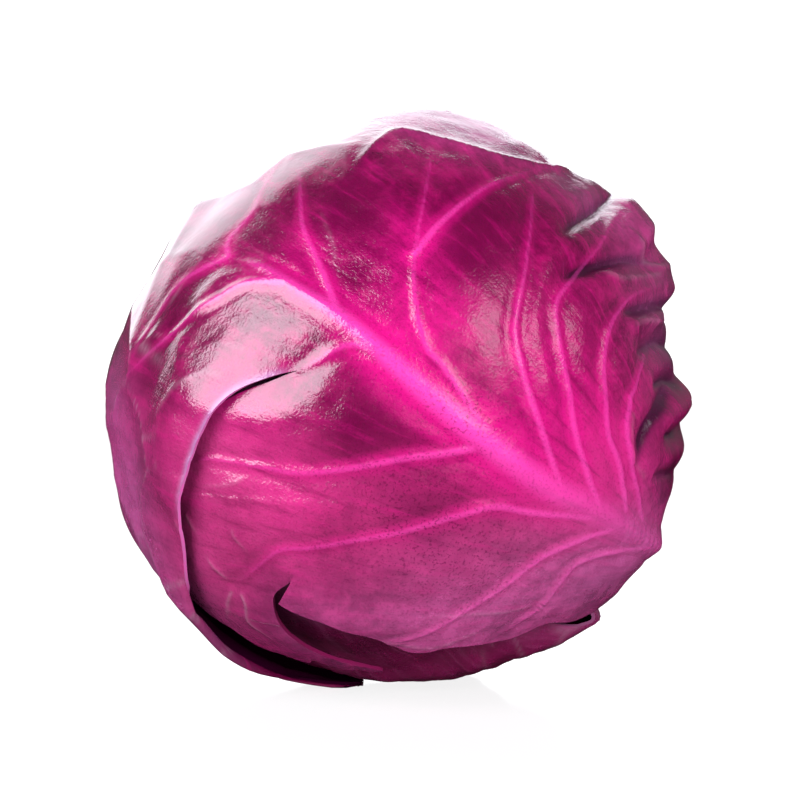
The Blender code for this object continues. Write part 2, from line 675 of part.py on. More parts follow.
def stalk(colour):
    """The cut stalk, which the leaves' bases stand round."""
    r, end = STALK_RADIUS, STALK_END
    return turned("stalk", ((0, STALK_FOOT), (r - 1.5, STALK_FOOT), (r, STALK_FOOT + 2), (r - 0.6, end - 6),
                            (r, end - 1.2), (r - 1.0, end), (0, end)), colour)


def main():
    for obj in list(bpy.data.objects):
        bpy.data.objects.remove(obj)
    front_leaf((0.42, 0.01, 0.13))
    wrapper_leaf("leaf_top_back", (0.35, 0.01, 0.12))
    wrapper_leaf("leaf_low_back", (0.30, 0.02, 0.12))
    wrapper_leaf("leaf_under", (0.24, 0.02, 0.10))
    heart((0.22, 0.01, 0.08))
    stalk((0.70, 0.52, 0.60))


main()
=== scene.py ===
import math

import bmesh
import bpy
import numpy as np
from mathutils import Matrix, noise


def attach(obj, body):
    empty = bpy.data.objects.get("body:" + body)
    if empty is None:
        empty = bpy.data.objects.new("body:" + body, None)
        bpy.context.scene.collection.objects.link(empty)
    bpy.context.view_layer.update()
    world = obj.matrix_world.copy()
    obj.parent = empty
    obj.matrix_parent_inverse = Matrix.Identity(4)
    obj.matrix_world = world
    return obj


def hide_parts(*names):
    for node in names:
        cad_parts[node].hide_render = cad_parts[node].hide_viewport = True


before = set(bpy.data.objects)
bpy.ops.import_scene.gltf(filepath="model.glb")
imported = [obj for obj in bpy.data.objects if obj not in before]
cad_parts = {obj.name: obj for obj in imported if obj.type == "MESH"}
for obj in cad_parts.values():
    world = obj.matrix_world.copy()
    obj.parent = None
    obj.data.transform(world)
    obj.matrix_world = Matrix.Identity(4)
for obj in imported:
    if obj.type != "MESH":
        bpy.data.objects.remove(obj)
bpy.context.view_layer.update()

# A red cabbage head on its side. Lengths are in millimetres and places on a leaf in degrees of arc from
# its middle; a mesh is turned to metres as it is laid on the head.

head = {
    "middle": (-1.5, 1.6, 83.5),
    "radius": 84.5,
    "frontLift": 6.0,  # the front leaf's middle looks at the viewer, a little upwards
    "stalkOut": 98.0,
    "stalkTurn": -28.0,
    "stalkRadius": 13.5,
    "stalkClear": 2.2,
    "layerStep": 2.9,
    "floorStep": 1.8,
    "floorTurn": 3.0,  # mm, how gently the underside turns up from the floor
    "flapCover": 0.65,  # share of a leaf's step that the front leaf's flap takes up
    "ruffleDraw": 3.4,  # mm that the head is drawn in under the ruffled edge
    "layers": {"leaf_front": 0, "leaf_top_back": 1, "leaf_low_back": 2, "leaf_under": 3},
    "leafTurn": {"leaf_top_back": 132.0, "leaf_low_back": 216.0, "leaf_under": -62.0},
    "leafRise": {"leaf_top_back": 0.85, "leaf_low_back": 0.85, "leaf_under": 0.6},
    "leafMiddle": 82.0,
}
perDegree = math.radians(1) * head["radius"]  # mm of leaf for a degree of arc


def smoothStep(low, high, x):
    t = np.clip((np.asarray(x, float) - low) / (high - low), 0.0, 1.0)
    return t * t * (3.0 - 2.0 * t)


def between(x, low, full, fullTo, high):  # rises from low to full, and falls again from fullTo to high
    return smoothStep(low, full, x) * smoothStep(high, fullTo, x)


def bell(x):
    return np.exp(-(x**2))


def unitVector(v):
    v = np.asarray(v, float)
    return v / np.linalg.norm(v, axis=-1, keepdims=True)


def easedCurve(x, keys):  # through (x, y) keys without overshoot
    xs, ys = np.array(keys, float).T
    gaps = np.diff(xs)
    slopes = np.diff(ys) / gaps
    product = slopes[:-1] * slopes[1:]
    inner = np.where(product > 0, 2 * product / np.where(product > 0, slopes[:-1] + slopes[1:], 1), 0)
    tangents = np.concatenate([slopes[:1], inner, slopes[-1:]])
    x = np.clip(np.asarray(x, float), xs[0], xs[-1])
    i = np.clip(np.searchsorted(xs, x, side="right") - 1, 0, len(gaps) - 1)
    t = (x - xs[i]) / gaps[i]
    value = (2 * t**3 - 3 * t**2 + 1) * ys[i] + (t**3 - 2 * t**2 + t) * gaps[i] * tangents[i]
    return value + (3 * t**2 - 2 * t**3) * ys[i + 1] + (t**3 - t**2) * gaps[i] * tangents[i + 1]


def splineLine(points, count):
    points = np.array(points, float)
    ends = np.concatenate([[2 * points[0] - points[1]], points, [2 * points[-1] - points[-2]]])
    s = np.linspace(0, len(points) - 1 - 1e-9, count)
    i, t = s.astype(int), (s % 1)[:, None]
    a, b, c, d = ends[i], ends[i + 1], ends[i + 2], ends[i + 3]
    return 0.5 * (2 * b + (c - a) * t + (2 * a - 5 * b + 4 * c - d) * t**2 + (3 * b - a - 3 * c + d) * t**3)


# the head's axes: ahead, to the side and up
lift = math.radians(head["frontLift"])
middle = np.array(head["middle"])
frontAxes = (
    np.array([0.0, -math.cos(lift), math.sin(lift)]),
    np.array([1.0, 0.0, 0.0]),
    np.array([0.0, math.sin(lift), math.cos(lift)]),
)


def direction(out, turn, axes):
    out, turn = np.radians(np.atleast_1d(out))[:, None], np.radians(np.atleast_1d(turn))[:, None]
    ahead, side, up = (axis[None, :] for axis in axes)
    return np.cos(out) * ahead + np.sin(out) * (np.cos(turn) * side + np.sin(turn) * up)


def apart(n, way):  # degrees between directions and a way
    return np.degrees(np.arccos(np.clip(n @ way, -1, 1)))


def placeOn(n, axes):  # (out, turn) of a direction
    return apart(n, axes[0]), np.degrees(np.arctan2(n @ axes[2], n @ axes[1]))


def onLeaf(out, turn):  # degrees across and up from the leaf's middle
    turn = np.radians(turn)
    return out * np.cos(turn), out * np.sin(turn)


def awayFrom(n, out, turn):  # degrees between directions and a place seen from the front
    return apart(n, direction(out, turn, frontAxes)[0])


stalkWay = direction(head["stalkOut"], head["stalkTurn"], frontAxes)[0]
stalkSide = unitVector(frontAxes[0] - (frontAxes[0] @ stalkWay) * stalkWay)
stalkAxes = (stalkWay, stalkSide, np.cross(stalkSide, stalkWay))


def leafAxes(name):
    if name == "leaf_front":
        return frontAxes
    ahead = direction(head["leafMiddle"], head["leafTurn"][name], stalkAxes)[0]
    toBase = unitVector(stalkWay - (stalkWay @ ahead) * ahead)
    return ahead, toBase, np.cross(ahead, toBase)


headLumps = (  # place, height, spread
    ((92, -30), 2.6, 24), ((88, 205), 0.8, 30), ((92, 134), -4.6, 30), ((92, 108), -2.8, 16),
    ((88, 84), 2.2, 12), ((90, 42), 3.6, 14), ((96, -96), 2.0, 18), ((118, -76), 2.0, 24),
    ((150, 60), -3.0, 40), ((140, 180), -2.0, 40),
)


def lumpsAt(n, lumps):
    total = np.zeros(len(n))
    for (out, turn), height, spread in lumps:
        total += height * bell(awayFrom(n, out, turn) / spread)
    return total


def innerForm(n):  # the head's form under the front leaf, drawn in under its ruffles
    out, turn = placeOn(n, frontAxes)
    ruffled = between(out, 44, 80, 100, 112) * between(turn, -30, -14, 50, 66)
    return lumpsAt(n, headLumps) - head["ruffleDraw"] * ruffled


def noiseAt(points, size, seed, octaves=2):  # smooth noise of -1 to 1, with features of this size
    points = points / size + seed * 17.3
    total, weight = np.zeros(len(points)), 0.0
    for octave in range(octaves):
        share = 0.5**octave
        layer = points * 2.0**octave
        total += share * np.fromiter((noise.noise(p) for p in layer.tolist()), float, len(points))
        weight += share
    return total / weight


# the front leaf, with its tears, edge, ribs and folds
frontLeaf = {
    "cells": 280,  # along each side of the grid that it starts from
    "thickness": 1.1,
    "innerKept": 0.14,  # share of the hidden inner face's triangles that stays
    "fanBase": (92, -52),  # degrees across and up, where the fibres start
    "tearStart": 20.0,  # degrees out
    "hookStart": 44.0,
    "hookRing": 66,  # the ring of the grid that lies at hookStart
    "hookTurn": -120.0,
    "hookAngle": 282.0,
    "tearLine": (
        (20, 162), (26, 170), (32, 177), (39.5, 190), (46, 200), (53.5, 211),
        (62, 220), (69, 228), (77, 236), (81, 243), (85, 255), (89, 266),
    ),
    "tearLap": ((20, 0), (25, -1.6), (31, -0.5), (45, 10), (60, 13), (100, 13)),
    "hookLapTurn": ((44, -120), (50, -122), (56, -119), (63, -109), (66, -95), (70, -82)),
    # how far out the leaf reaches at each angle of the flat leaf
    "edge": (
        (0, 92), (3, 101), (12, 110), (25, 113), (47, 115), (82, 110), (117, 100), (141, 93), (157, 93),
        (188, 94), (210, 88), (221, 90), (226, 80), (229, 68), (237, 63), (242, 58.8), (249, 54.6),
        (254, 53.8), (262, 51.2), (270, 49.4), (282, 49),
    ),
    "lowerEdge": ((282, 66), (297, 67.5), (317, 70.4), (333, 72.2), (360, 77)),
    # mm that the ruffled edge rises or dips, by turn
    "ruffleEdge": (
        (-56, 0), (-48, -1.2), (-40, -1.4), (-30, 1.6), (-20, -2.2), (-16, -2.4), (-11, -1.0), (-6, -2.8),
        (-1, 0.8), (5, -3.6), (10, -3.8), (16, -3.8), (21, 1.8), (25, 1.8), (30, -0.6), (34, 2.8), (39, 2.2),
        (45, -1.4), (52, -2.2), (60, 0),
    ),
    # routes in degrees across and up
    "midrib": (
        (82, -45), (48, -26), (31, -17), (17, -7), (7, 1), (-3, 10), (-11, 17), (-20, 23), (-29, 29),
        (-38, 33),
    ),
    "ribs": (
        ((18, -6), (10, 6), (6, 11), (4, 20), (4, 30), (7, 48), (9, 61)),
        ((4, 30), (10, 38), (19, 47), (26, 52), (40, 62)),
        ((34, -17), (27, 1), (25, 8), (24, 14), (25, 20), (27, 27), (31, 44), (33, 53)),
        ((44, -22), (38, -8), (36, 2), (34, 12), (34, 21), (41, 29), (49, 38), (60, 52)),
        ((54, -25), (50, -14), (46, -7), (45, 2), (45, 9), (47, 16), (51, 21), (58, 26), (71, 31)),
        ((62, -29), (52, -9), (52, 0), (54, 3), (58, 9), (64, 14)),
        ((-11, 17), (-15, 27), (-20, 38), (-22, 49), (-25, 63)),
        ((-38, 33), (-39, 38), (-34, 45), (-33, 55), (-30, 74)),
        ((-38, 33), (-47, 31), (-53, 28), (-58, 20), (-65, 9)),
        ((-21, 24), (-31, 25), (-38, 22), (-45, 19), (-53, 14), (-60, 10), (-78, 0)),
        ((-3, 10), (-9, 11), (-15, 8), (-19, 6)),
        ((15, -9), (9, -10), (1, -11), (-9, -13), (-19, -14), (-28, -13), (-39, -12), (-44, -13)),
        (
            (42, -25), (29, -23), (20, -21), (11, -23), (1, -26), (-9, -28), (-18, -30), (-24, -31),
            (-30, -36), (-36, -42),
        ),
        ((49, -29), (37, -32), (30, -35), (21, -42), (12, -47), (6, -50), (-2, -53)),
        ((65, -37), (50, -36), (41, -38), (35, -47), (30, -51), (25, -55)),
    ),
    "midribSize": ((6.4, 1.1), (2.0, 0.5)),  # half width at root and tip, height at root and tip
    "ribSize": ((1.6, 0.7), (0.7, 0.25)),
    # folds of the ruffled edge: route, depth, half width in mm
    "furrows": (
        (((34, 34), (42, 42), (52, 50), (62, 59), (72, 68)), 1.5, 1.8),
        (((33, 25), (41, 29), (51, 33), (61, 36), (72, 38)), 2.0, 1.8),
        (((50, 20), (58, 22), (68, 25), (79, 28), (92, 32)), 2.2, 1.7),
        (((54, 11), (61, 13), (70, 16), (82, 17), (94, 19)), 1.3, 1.5),
        (((60, 3), (68, 5), (76, 6), (88, 5)), 1.4, 1.4),
        (((76, 6), (68, 1), (61, -4), (58, -9), (57, -14)), 2.7, 2.2),
        (((66, -8), (76, -9), (86, -7)), 1.2, 1.2),
        (((62, -18), (72, -19), (88, -22)), 0.8, 2.2),
    ),
    "crests": (
        (((44, 31), (52, 29), (60, 31), (70, 34)), 0.9, 1.6),
        (((58, 45), (64, 38), (72, 37), (80, 40)), 1.0, 1.6),
        (((52, 16), (58, 19), (66, 20), (78, 23)), 1.0, 1.5),
        (((53, 2), (53, -6), (55, -13), (60, -18)), 0.8, 1.4),
    ),
    # fine raised creases: route, height, half width in mm
    "creases": (
        (((-37, -42), (-40, -48), (-42, -54)), 0.6, 0.9),
        (((-37, -42), (-35, -47), (-35, -53), (-30, -58)), 0.6, 0.9),
        (((-37, -42), (-41, -38), (-43, -35)), 0.5, 0.8),
        (((-35, -26), (-34, -29), (-32, -32)), 0.3, 0.6),
        (((-47, -24), (-46, -27), (-44, -30)), 0.35, 0.6),
        (((-30, -15), (-34, -17), (-41, -18)), 0.3, 0.7),
        (((-12, 27), (-13, 33), (-16, 41)), 0.3, 0.7),
        (((-30, 3), (-38, 6), (-47, 2), (-52, -3)), 0.5, 1.0),
        (((-26, 9), (-36, 12), (-46, 9)), 0.3, 1.0),
        (((24, -50), (8, -54), (-6, -51)), 0.35, 1.0),
        (((38, -46), (22, -47), (6, -45)), 0.3, 1.0),
    ),
    # the sharp ridge along the top: route, height, half width in mm
    "ridge": (((-11, 48), (-3, 63), (3, 67), (22, 60), (40, 62), (57, 71)), 1.5, 2.2),
    # a soft crest, above which the leaf leans back, and one broad flat facet below it
    "crestLine": ((-64, 4), (-50, 13), (-44, 19), (-37, 24), (-24, 25), (-13, 19), (-4, 12), (6, 4)),
    "crestTall": (0.5, 2.4),  # mm that it rises, and that the leaf above falls back
    "flatFacet": ((-29, 10), (17, 13.5), 1.6),  # middle, half size, mm sunk
    # mm that the flap stands off along its tear, and the degrees of turn which that takes, by degrees out
    "tearStand": ((19, 0), (28, 2.6), (42, 4.6), (62, 5.4), (80, 6.2), (92, 5.4), (104, 0.2)),
    "tearStandWide": ((40, 50), (64, 38), (84, 14)),
    "lowerStand": (3.1, 0.5),  # mm that the lower edge stands off, and that the leaf beyond its tear sinks
    "pillow": 1.1,  # mm that the leaf swells between its folds
    "crimp": 0.3,  # mm of fine pleats along the ruffled edge
    "crumples": (13.0, 1.8, 11),  # degrees between facets, mm of jitter, seed
    "hemRoll": (1.7, 5.2),  # mm, radius and length of leaf that is rolled
    "lipLift": (80, 243, 3.8, 13),  # out, turn, mm off the floor, spread
    "lumps": (
        ((84, 30), 2.2, 7), ((94, -60), -3.4, 11), ((84, 140), 1.5, 12), ((92, 140), -1.5, 10),
        ((90, 170), -1.2, 9), ((90, 75), -1.2, 8),
    ),
}
hookAngle = frontLeaf["hookAngle"]


def tearTurn(out):
    return easedCurve(out, frontLeaf["tearLine"])


def frontTurn(out, angle):  # where a place of the flat leaf comes to lie
    tear, hookTurn = tearTurn(out), frontLeaf["hookTurn"]
    first = tear + (hookTurn - tear) * angle / hookAngle
    under = tear - 360 - easedCurve(out, frontLeaf["tearLap"])
    hookLap = easedCurve(out, frontLeaf["hookLapTurn"])
    second = hookLap + (under - hookLap) * (angle - hookAngle) / (360 - hookAngle)
    return np.where(angle <= hookAngle, first, second)


def frontReach(angle):
    wave = 1.1 * np.sin(np.radians(angle * 9)) + 0.6 * np.sin(np.radians(angle * 23 + 40))
    first = easedCurve(angle, frontLeaf["edge"]) + wave * smoothStep(282, 262, angle)
    return np.where(angle <= hookAngle, first, easedCurve(angle, frontLeaf["lowerEdge"]) + 0.7 * wave)


def lineAway(across, up, route):  # mm to the nearest place of a line, and how far along that lies
    line = splineLine(route, 16 * len(route))
    best = np.full(len(across), 1e9)
    share = np.zeros(len(across))
    for k, (x, y) in enumerate(line):
        away = (across - x) ** 2 + (up - y) ** 2
        near = away < best
        best[near] = away[near]
        share[near] = k / (len(line) - 1)
    return np.sqrt(best) * perDegree, share


# the ribs' height, the distance in rib widths to the nearest and its strength, and the mm to its side
def ribField(across, up, ribs):
    height = np.zeros(len(across))
    gap = np.full(len(across), 6.0)
    strength = np.zeros(len(across))
    nearest = np.full(len(across), 60.0)
    for route, (widths, heights) in ribs:
        away, share = lineAway(across, up, route)
        width = widths[0] + (widths[1] - widths[0]) * share
        tall = heights[0] + (heights[1] - heights[0]) * share
        ends = smoothStep(1.0, 0.9, share)
        bump = 0.72 * bell(away / width) + 0.28 * bell(away / (0.45 * width))
        height = np.maximum(height, tall * bump * ends)
        ownGap = away / width + 2.5 * (1 - ends)
        closer = ownGap < gap
        gap[closer] = ownGap[closer]
        fade = ((0, 0.15), (0.15, 0.5), (0.35, 0.9), (1, 0.3)) if widths[0] > 4 else ((0, 0.66), (1, 0.14))
        strength[closer] = easedCurve(share, fade)[closer]
        nearest = np.minimum(nearest, np.maximum(away - width, 0))
    return height, gap, strength, nearest


def foldField(across, up, folds):  # the height of sharp folds, and the mm to the nearest
    total = np.zeros(len(across))
    nearest = np.full(len(across), 60.0)
    for route, depth, width in folds:
        away, share = lineAway(across, up, route)
        ends = smoothStep(0, 0.3, share) * (1 - 0.75 * smoothStep(0.6, 1.0, share))
        total = np.maximum(total, depth * np.exp(-(np.sqrt(away**2 + 0.3) - 0.5) / width) * ends)
        nearest = np.minimum(nearest, away + 12 * smoothStep(0.2, 0, share))
    return total, nearest


def softMax(a, b, blend):
    return 0.5 * (a + b + np.sqrt((a - b) ** 2 + blend**2))


def crumpledFacets(n, spacing, jitter, seed):  # uneven facets on a ball, and how near an edge between two is
    rng = np.random.default_rng(seed)
    count = int(41253 / spacing**2)
    k = np.arange(count) + 0.5
    tilt, spin = np.arccos(1 - 2 * k / count), k * 2.39996  # evenly spread by the golden angle
    ways = np.stack([np.sin(tilt) * np.cos(spin), np.sin(tilt) * np.sin(spin), np.cos(tilt)], axis=1)
    ways = unitVector(ways + rng.normal(scale=math.radians(spacing) * 0.35, size=ways.shape))
    spot = n * head["radius"]
    bend = np.stack([noiseAt(spot, 26.0, seed + step) for step in range(3)], axis=1)
    bent = unitVector(n + 0.07 * bend)
    low = np.full(len(n), 1e3)
    second = np.full(len(n), 1e3)
    for way, height in zip(ways, head["radius"] + jitter * rng.uniform(-1, 1, count)):
        reach = height / np.maximum(bent @ way, 0.2)
        second = np.minimum(second, np.maximum(low, reach))
        low = np.minimum(low, reach)
    rounded = 0.5 * (low + second - np.sqrt((second - low) ** 2 + 0.07**2))
    return rounded - head["radius"], np.exp(-(second - low) / 0.07)


def rolledHem(out, turn, angle):  # the flap's lower end is rolled in: the new turn, and how far it drops
    tight, length = frontLeaf["hemRoll"]
    perTurn = np.radians(1) * np.sin(np.radians(np.maximum(out, 20))) * head["radius"]
    fromEdge = (tearTurn(out) - turn) * perTurn
    hem = smoothStep(60, 74, out) * (angle <= hookAngle)
    around = np.clip(length - fromEdge, 0, length) / tight
    shift = np.where(fromEdge < length, length - tight * np.sin(around) - fromEdge, 0)
    return turn - hem * shift / perTurn, hem * tight * (1 - np.cos(around))


def crestForm(n, across, up):  # the crest with the lean above it, and the flat facet below
    rise, fall = frontLeaf["crestTall"]
    over = up - easedCurve(across, frontLeaf["crestLine"])
    lean = between(across, -58, -42, -10, 6) * smoothStep(44, 22, over)
    crest = lean * (rise * bell(over / 4.0) - fall * smoothStep(0, 13, over))
    (flatAcross, flatUp), (wide, tall), sunk = frontLeaf["flatFacet"]
    flatOut, flatTurn = math.hypot(flatAcross, flatUp), math.degrees(math.atan2(flatUp, flatAcross))
    plane = (head["radius"] - sunk) / np.maximum(n @ direction(flatOut, flatTurn, frontAxes)[0], 0.3)
    within = smoothStep(1.3, 0.75, np.hypot((across - flatAcross) / wide, (up - flatUp) / tall))
    return crest + 0.85 * within * (plane - head["radius"])


def standOff(out, turn, fromTear, first):  # along the long tear, and along the lower edge
    stand, wide = (easedCurve(out, frontLeaf[key]) for key in ("tearStand", "tearStandWide"))
    flap = np.where(first, stand * np.cos(np.radians(90 * np.clip(fromTear / wide, 0, 1))) ** 2, 0)
    above, below = frontLeaf["lowerStand"]
    lower = np.where(first & (turn < 0), above * smoothStep(-62, -88, turn) * smoothStep(41, 49, out), 0)
    return flap + lower - np.where(first, 0, below * smoothStep(41, 48, out))


def frontSurface(out, turn, angle):
    rolled, drop = rolledHem(out, turn, angle)
    n = direction(out, rolled, frontAxes)
    across, up = onLeaf(out, turn)
    spot = n * head["radius"]
    first = angle <= hookAngle
    fromTear = np.where(first, tearTurn(out) - turn, 99)
    crumpled = smoothStep(48, 60, out) * between(turn, 92, 108, 250, 264) * first
    ruffled = between(turn, -34, 2, 46, 64)
    r = head["radius"] + lumpsAt(n, headLumps) + lumpsAt(n, frontLeaf["lumps"])
    ribs = [(frontLeaf["midrib"], frontLeaf["midribSize"])]
    ribs += [(route, frontLeaf["ribSize"]) for route in frontLeaf["ribs"]]
    height, gap, strength, nearest = ribField(across, up, ribs)
    # leaf between the ribs swells a little, and dips along a rib's foot
    swell = 0.9 * (1 - bell(nearest / 8.0)) - 0.35 * bell((nearest - 1.5) / 1.8)
    r = r + (height + swell) * (1 - 0.7 * crumpled) + crestForm(n, across, up)
    # folds that run out to the ruffled right edge, with small crimps close to it
    wave = easedCurve(turn + 2.0 * np.sin(np.radians((out - 50) * 6)), frontLeaf["ruffleEdge"])
    furrow, fromFold = foldField(across, up, frontLeaf["furrows"])
    crest, fromCrest = foldField(across, up, frontLeaf["crests"])
    crease, fromCrease = foldField(across, up, frontLeaf["creases"])
    swollen = smoothStep(40, 56, out) * ruffled * (1 - bell(fromFold / 5.0))
    r = r + smoothStep(46, 86, out) * wave - 1.3 * furrow + 1.3 * crest + crease
    r = r + frontLeaf["pillow"] * swollen + 0.5 * furrow.clip(0, 1) * noiseAt(spot, 6.0, 3)
    pleats = np.sin(np.radians(turn * 38 + 60 * np.sin(np.radians(turn * 7))))
    r = r + frontLeaf["crimp"] * ruffled * smoothStep(74, 98, out) * pleats
    # waves along the top and the far left
    rest = between(turn, 50, 75, 235, 262)
    r = r + 1.6 * smoothStep(70, 100, out) * rest * (1 + np.sin(np.radians(turn * 11)))
    route, tall, wide = frontLeaf["ridge"]
    away, share = lineAway(across, up, route)
    r = r + tall * np.exp(-(away / wide)) * between(share, 0, 0.15, 0.85, 1)
    r = r + standOff(out, turn, fromTear, first)
    # crumpled facets over the flap, a trace of them elsewhere, and undulations of 16 and 6 mm
    facet, facetEdge = crumpledFacets(n, *frontLeaf["crumples"])
    r = r + (facet - 0.6) * (0.05 + 0.95 * crumpled * smoothStep(106, 82, out))
    uneven = 0.55 * noiseAt(spot, 16.0, 1) + 0.30 * noiseAt(spot, 6.0, 2, 3)
    r = r + (1 - 0.85 * crumpled) * uneven
    lowest = head["radius"] + innerForm(n) - 1.5
    r = softMax(r, lowest, 1.2) - drop
    # what the material reads
    # painted highlight: pale lines along facet edges, ruffle crests and raised creases
    edgeLight = 0.25 * crumpled * smoothStep(90, 78, out) * facetEdge
    edgeLight = edgeLight + 0.12 * ruffled * bell(fromCrest / 0.9)
    edgeLight = edgeLight + 0.35 * crease.clip(0, 0.5) * bell(fromCrease / 0.8)
    # painted shade: the furrows' depth and the ruffled edge's valleys darken the colour
    valley = ruffled * smoothStep(58, 80, out) * smoothStep(0, -2.8, wave)
    edgeAway = np.radians(np.abs(fromTear)) * np.sin(np.radians(out)) * head["radius"]
    flesh = bell(edgeAway / 1.7) * between(out, 20, 26, 43, 54) * first
    return n, r, {
        "ribGap": gap,
        "ribStrength": strength,
        "furrowShade": np.clip(furrow / 1.4, 0, 1) + 0.45 * valley,
        "crumple": crumpled * smoothStep(210, 180, turn) * smoothStep(104, 84, out),
        "flesh": flesh,
        "hemShade": smoothStep(9, 4, edgeAway) * smoothStep(64, 78, out) * first,
        # painted shade: the flesh is wine dark on the leaf's lower half and towards the flap's rolled end
        "wineShade": smoothStep(58, 74, out) * first + (turn < 0),
        "paintedEdgeHighlight": edgeLight,
    }


# the other wrapper leaves
wrapperLeaf = {
    "cells": 150,
    "thickness": 1.1,
    "innerKept": 0.6,
    "innerShare": 0.68,  # of the grid that the notch round the stalk leaves as it is
    "notchSlant": 5.0,  # degrees out for a degree of turn
    "fanBase": (90, 0),
    "midrib": ((76, 0), (40, 1), (5, 0), (-30, -2), (-58, 0)),
    "ribRoots": (52, 34, 16, -4, -24),
    "midribSize": ((7.0, 2.0), (3.4, 0.9)),
    "ribSize": ((2.6, 1.4), (1.1, 0.4)),
    "footBulges": (((114, -76), 3.0, 15), ((81, -92), 2.4, 9), ((97, -66), -4.0, 13), ((92, -50), -2.0, 12)),
    "footCrumple": 1.5,  # mm, low on the head
}


def leafReach(name, turn):
    seed = head["leafTurn"][name]
    rounded = 88 - 4 * np.cos(np.radians(2 * turn)) + 2 * np.cos(np.radians(turn))
    wave = 2.2 * np.sin(np.radians(3 * turn + seed)) + 1.2 * np.sin(np.radians(8 * turn + 2 * seed))
    turn = (turn + 180) % 360 - 180
    return rounded + wave - 5.0 * bell((np.abs(turn) - 180) / 14)


def covers(n, name):
    shares = []
    for other, layer in head["layers"].items():
        if layer >= head["layers"][name]:
            continue
        out, turn = placeOn(n, leafAxes(other))
        if other == "leaf_front":
            tear = tearTurn(np.full(len(turn), 88.0))
            seen = hookAngle * (tear - turn) / (tear - frontLeaf["hookTurn"])
            above = easedCurve(seen, frontLeaf["edge"])
            below = 70 + 30 * smoothStep(-120, -150, turn) - above
            close = above + below * np.where(turn > 0, 0, smoothStep(-64, -92, turn)) + 1.5
            flap = np.where(turn > 150, 1, smoothStep(-72, -92, turn))
            flap = flap * (1 - smoothStep(5, 18, out - 108)) * head["flapCover"]
            shares.append(np.maximum(1 - smoothStep(4, 14, out - close), flap))
        else:
            shares.append(1 - smoothStep(5, 18, out - leafReach(other, turn)))
    return np.array(shares)


def floorLevel(n, name):
    return head["floorStep"] * np.minimum(covers(n, name) / head["flapCover"], 1).sum(axis=0)


def wrapperRibs():
    ribs = [(wrapperLeaf["midrib"], wrapperLeaf["midribSize"])]
    for root in wrapperLeaf["ribRoots"]:
        for side in (-1, 1):
            length = 52 if root > 0 else 40
            sweep = ((0, 0), (-10, 0.33), (-24, 0.7), (-40, 1.0))
            route = tuple((root + back, side * length * share) for back, share in sweep)
            ribs.append((route, wrapperLeaf["ribSize"]))
    return ribs


def wrapperSurface(name, out, turn):
    axes = leafAxes(name)
    n = direction(out, turn, axes)
    spot = n * head["radius"]
    free = np.prod(1 - covers(n, name), axis=0)
    sunk = head["layers"][name] * head["layerStep"]
    r = head["radius"] + innerForm(n) - sunk + free * head["leafRise"][name] * sunk
    height, gap, strength, nearest = ribField(*onLeaf(out, turn), wrapperRibs())
    swell = 0.8 * (1 - bell(nearest / 8.0)) - 0.3 * bell((nearest - 1.5) / 1.8)
    r = r + np.minimum(height, 1.2) * (1 + 1.2 * free) + swell * free
    if name != "leaf_top_back":
        for (footOut, footTurn), bulge, spread in wrapperLeaf["footBulges"]:
            r = r + bulge * bell(awayFrom(n, footOut, footTurn) / spread)
    seed = head["layers"][name]
    facet, facetEdge = crumpledFacets(n, 10.0, 0.5, 20 + seed)
    edge = smoothStep(-20, 0, out - leafReach(name, turn))
    ruffle = 1 + np.sin(np.radians(9 * turn + head["leafTurn"][name]))
    r = r + free * (edge * (0.8 + 1.5 * ruffle) + (facet - 0.3) * (0.25 + 0.5 * edge))
    r = r + free * (0.7 * noiseAt(spot, 17.0, 30 + seed) + 0.35 * noiseAt(spot, 6.0, 40 + seed, 3))
    r = r + wrapperLeaf["footCrumple"] * smoothStep(-0.62, -0.8, n[:, 2]) * noiseAt(spot, 8.0, 70 + seed, 3)
    return n, r, {
        "ribGap": gap,
        "ribStrength": strength,
        # painted shade near the leaf's edge, darkest in the ruffles' troughs
        "furrowShade": 0.3 * edge * (1 - 0.5 * ruffle),
        # painted shade: the wrappers' flesh is partly wine dark all over
        "wineShade": np.full(len(n), 0.6),
        # painted highlight along facet edges near the leaf's edge
        "paintedEdgeHighlight": 0.15 * facetEdge * edge * free,
    }


# colours of each leaf, as sRGB hex
frontTone = {
    "dark": "#36011c", "mid": "#4c022a", "bright": "#680439", "halo": "#8c0852", "rib": "#9c2a70",
    # the furrow colour is painted shade in folds, and also the colour of the specks
    "veinlet": "#6a1240", "furrow": "#1c0112", "bloomAndSheen": "#84406c", "blush": "#802350",
    # a pale grey painted highlight for creases, a dark painted shade for inner faces, a wine painted shade
    # and a lilac for torn rims, and the leaf base
    "paintedHighlight": "#807b83", "inside": "#30031c", "tornWine": "#4c0a2c", "tornEdge": "#6f4e6d", "base": "#6c1242",
    "roughness": (0.13, 0.23), "bloomRoughness": 0.36, "crumpleRoughness": 0.12,
}
backTone = {
    **frontTone,
    "dark": "#3e021f", "mid": "#4d0729", "bright": "#5d163a", "halo": "#672147", "rib": "#7d4464",
    "blush": "#672e52",
}
underTone = {
    **backTone,
    "dark": "#420424", "mid": "#5c0e38", "bright": "#5d1d41", "halo": "#672b4c", "rib": "#754a66",
    "bloomAndSheen": "#5f3253", "blush": "#602646",
    "roughness": (0.24, 0.36),
}
darkTone = {
    **underTone,
    "dark": "#250315", "mid": "#350921", "bright": "#441830",
}

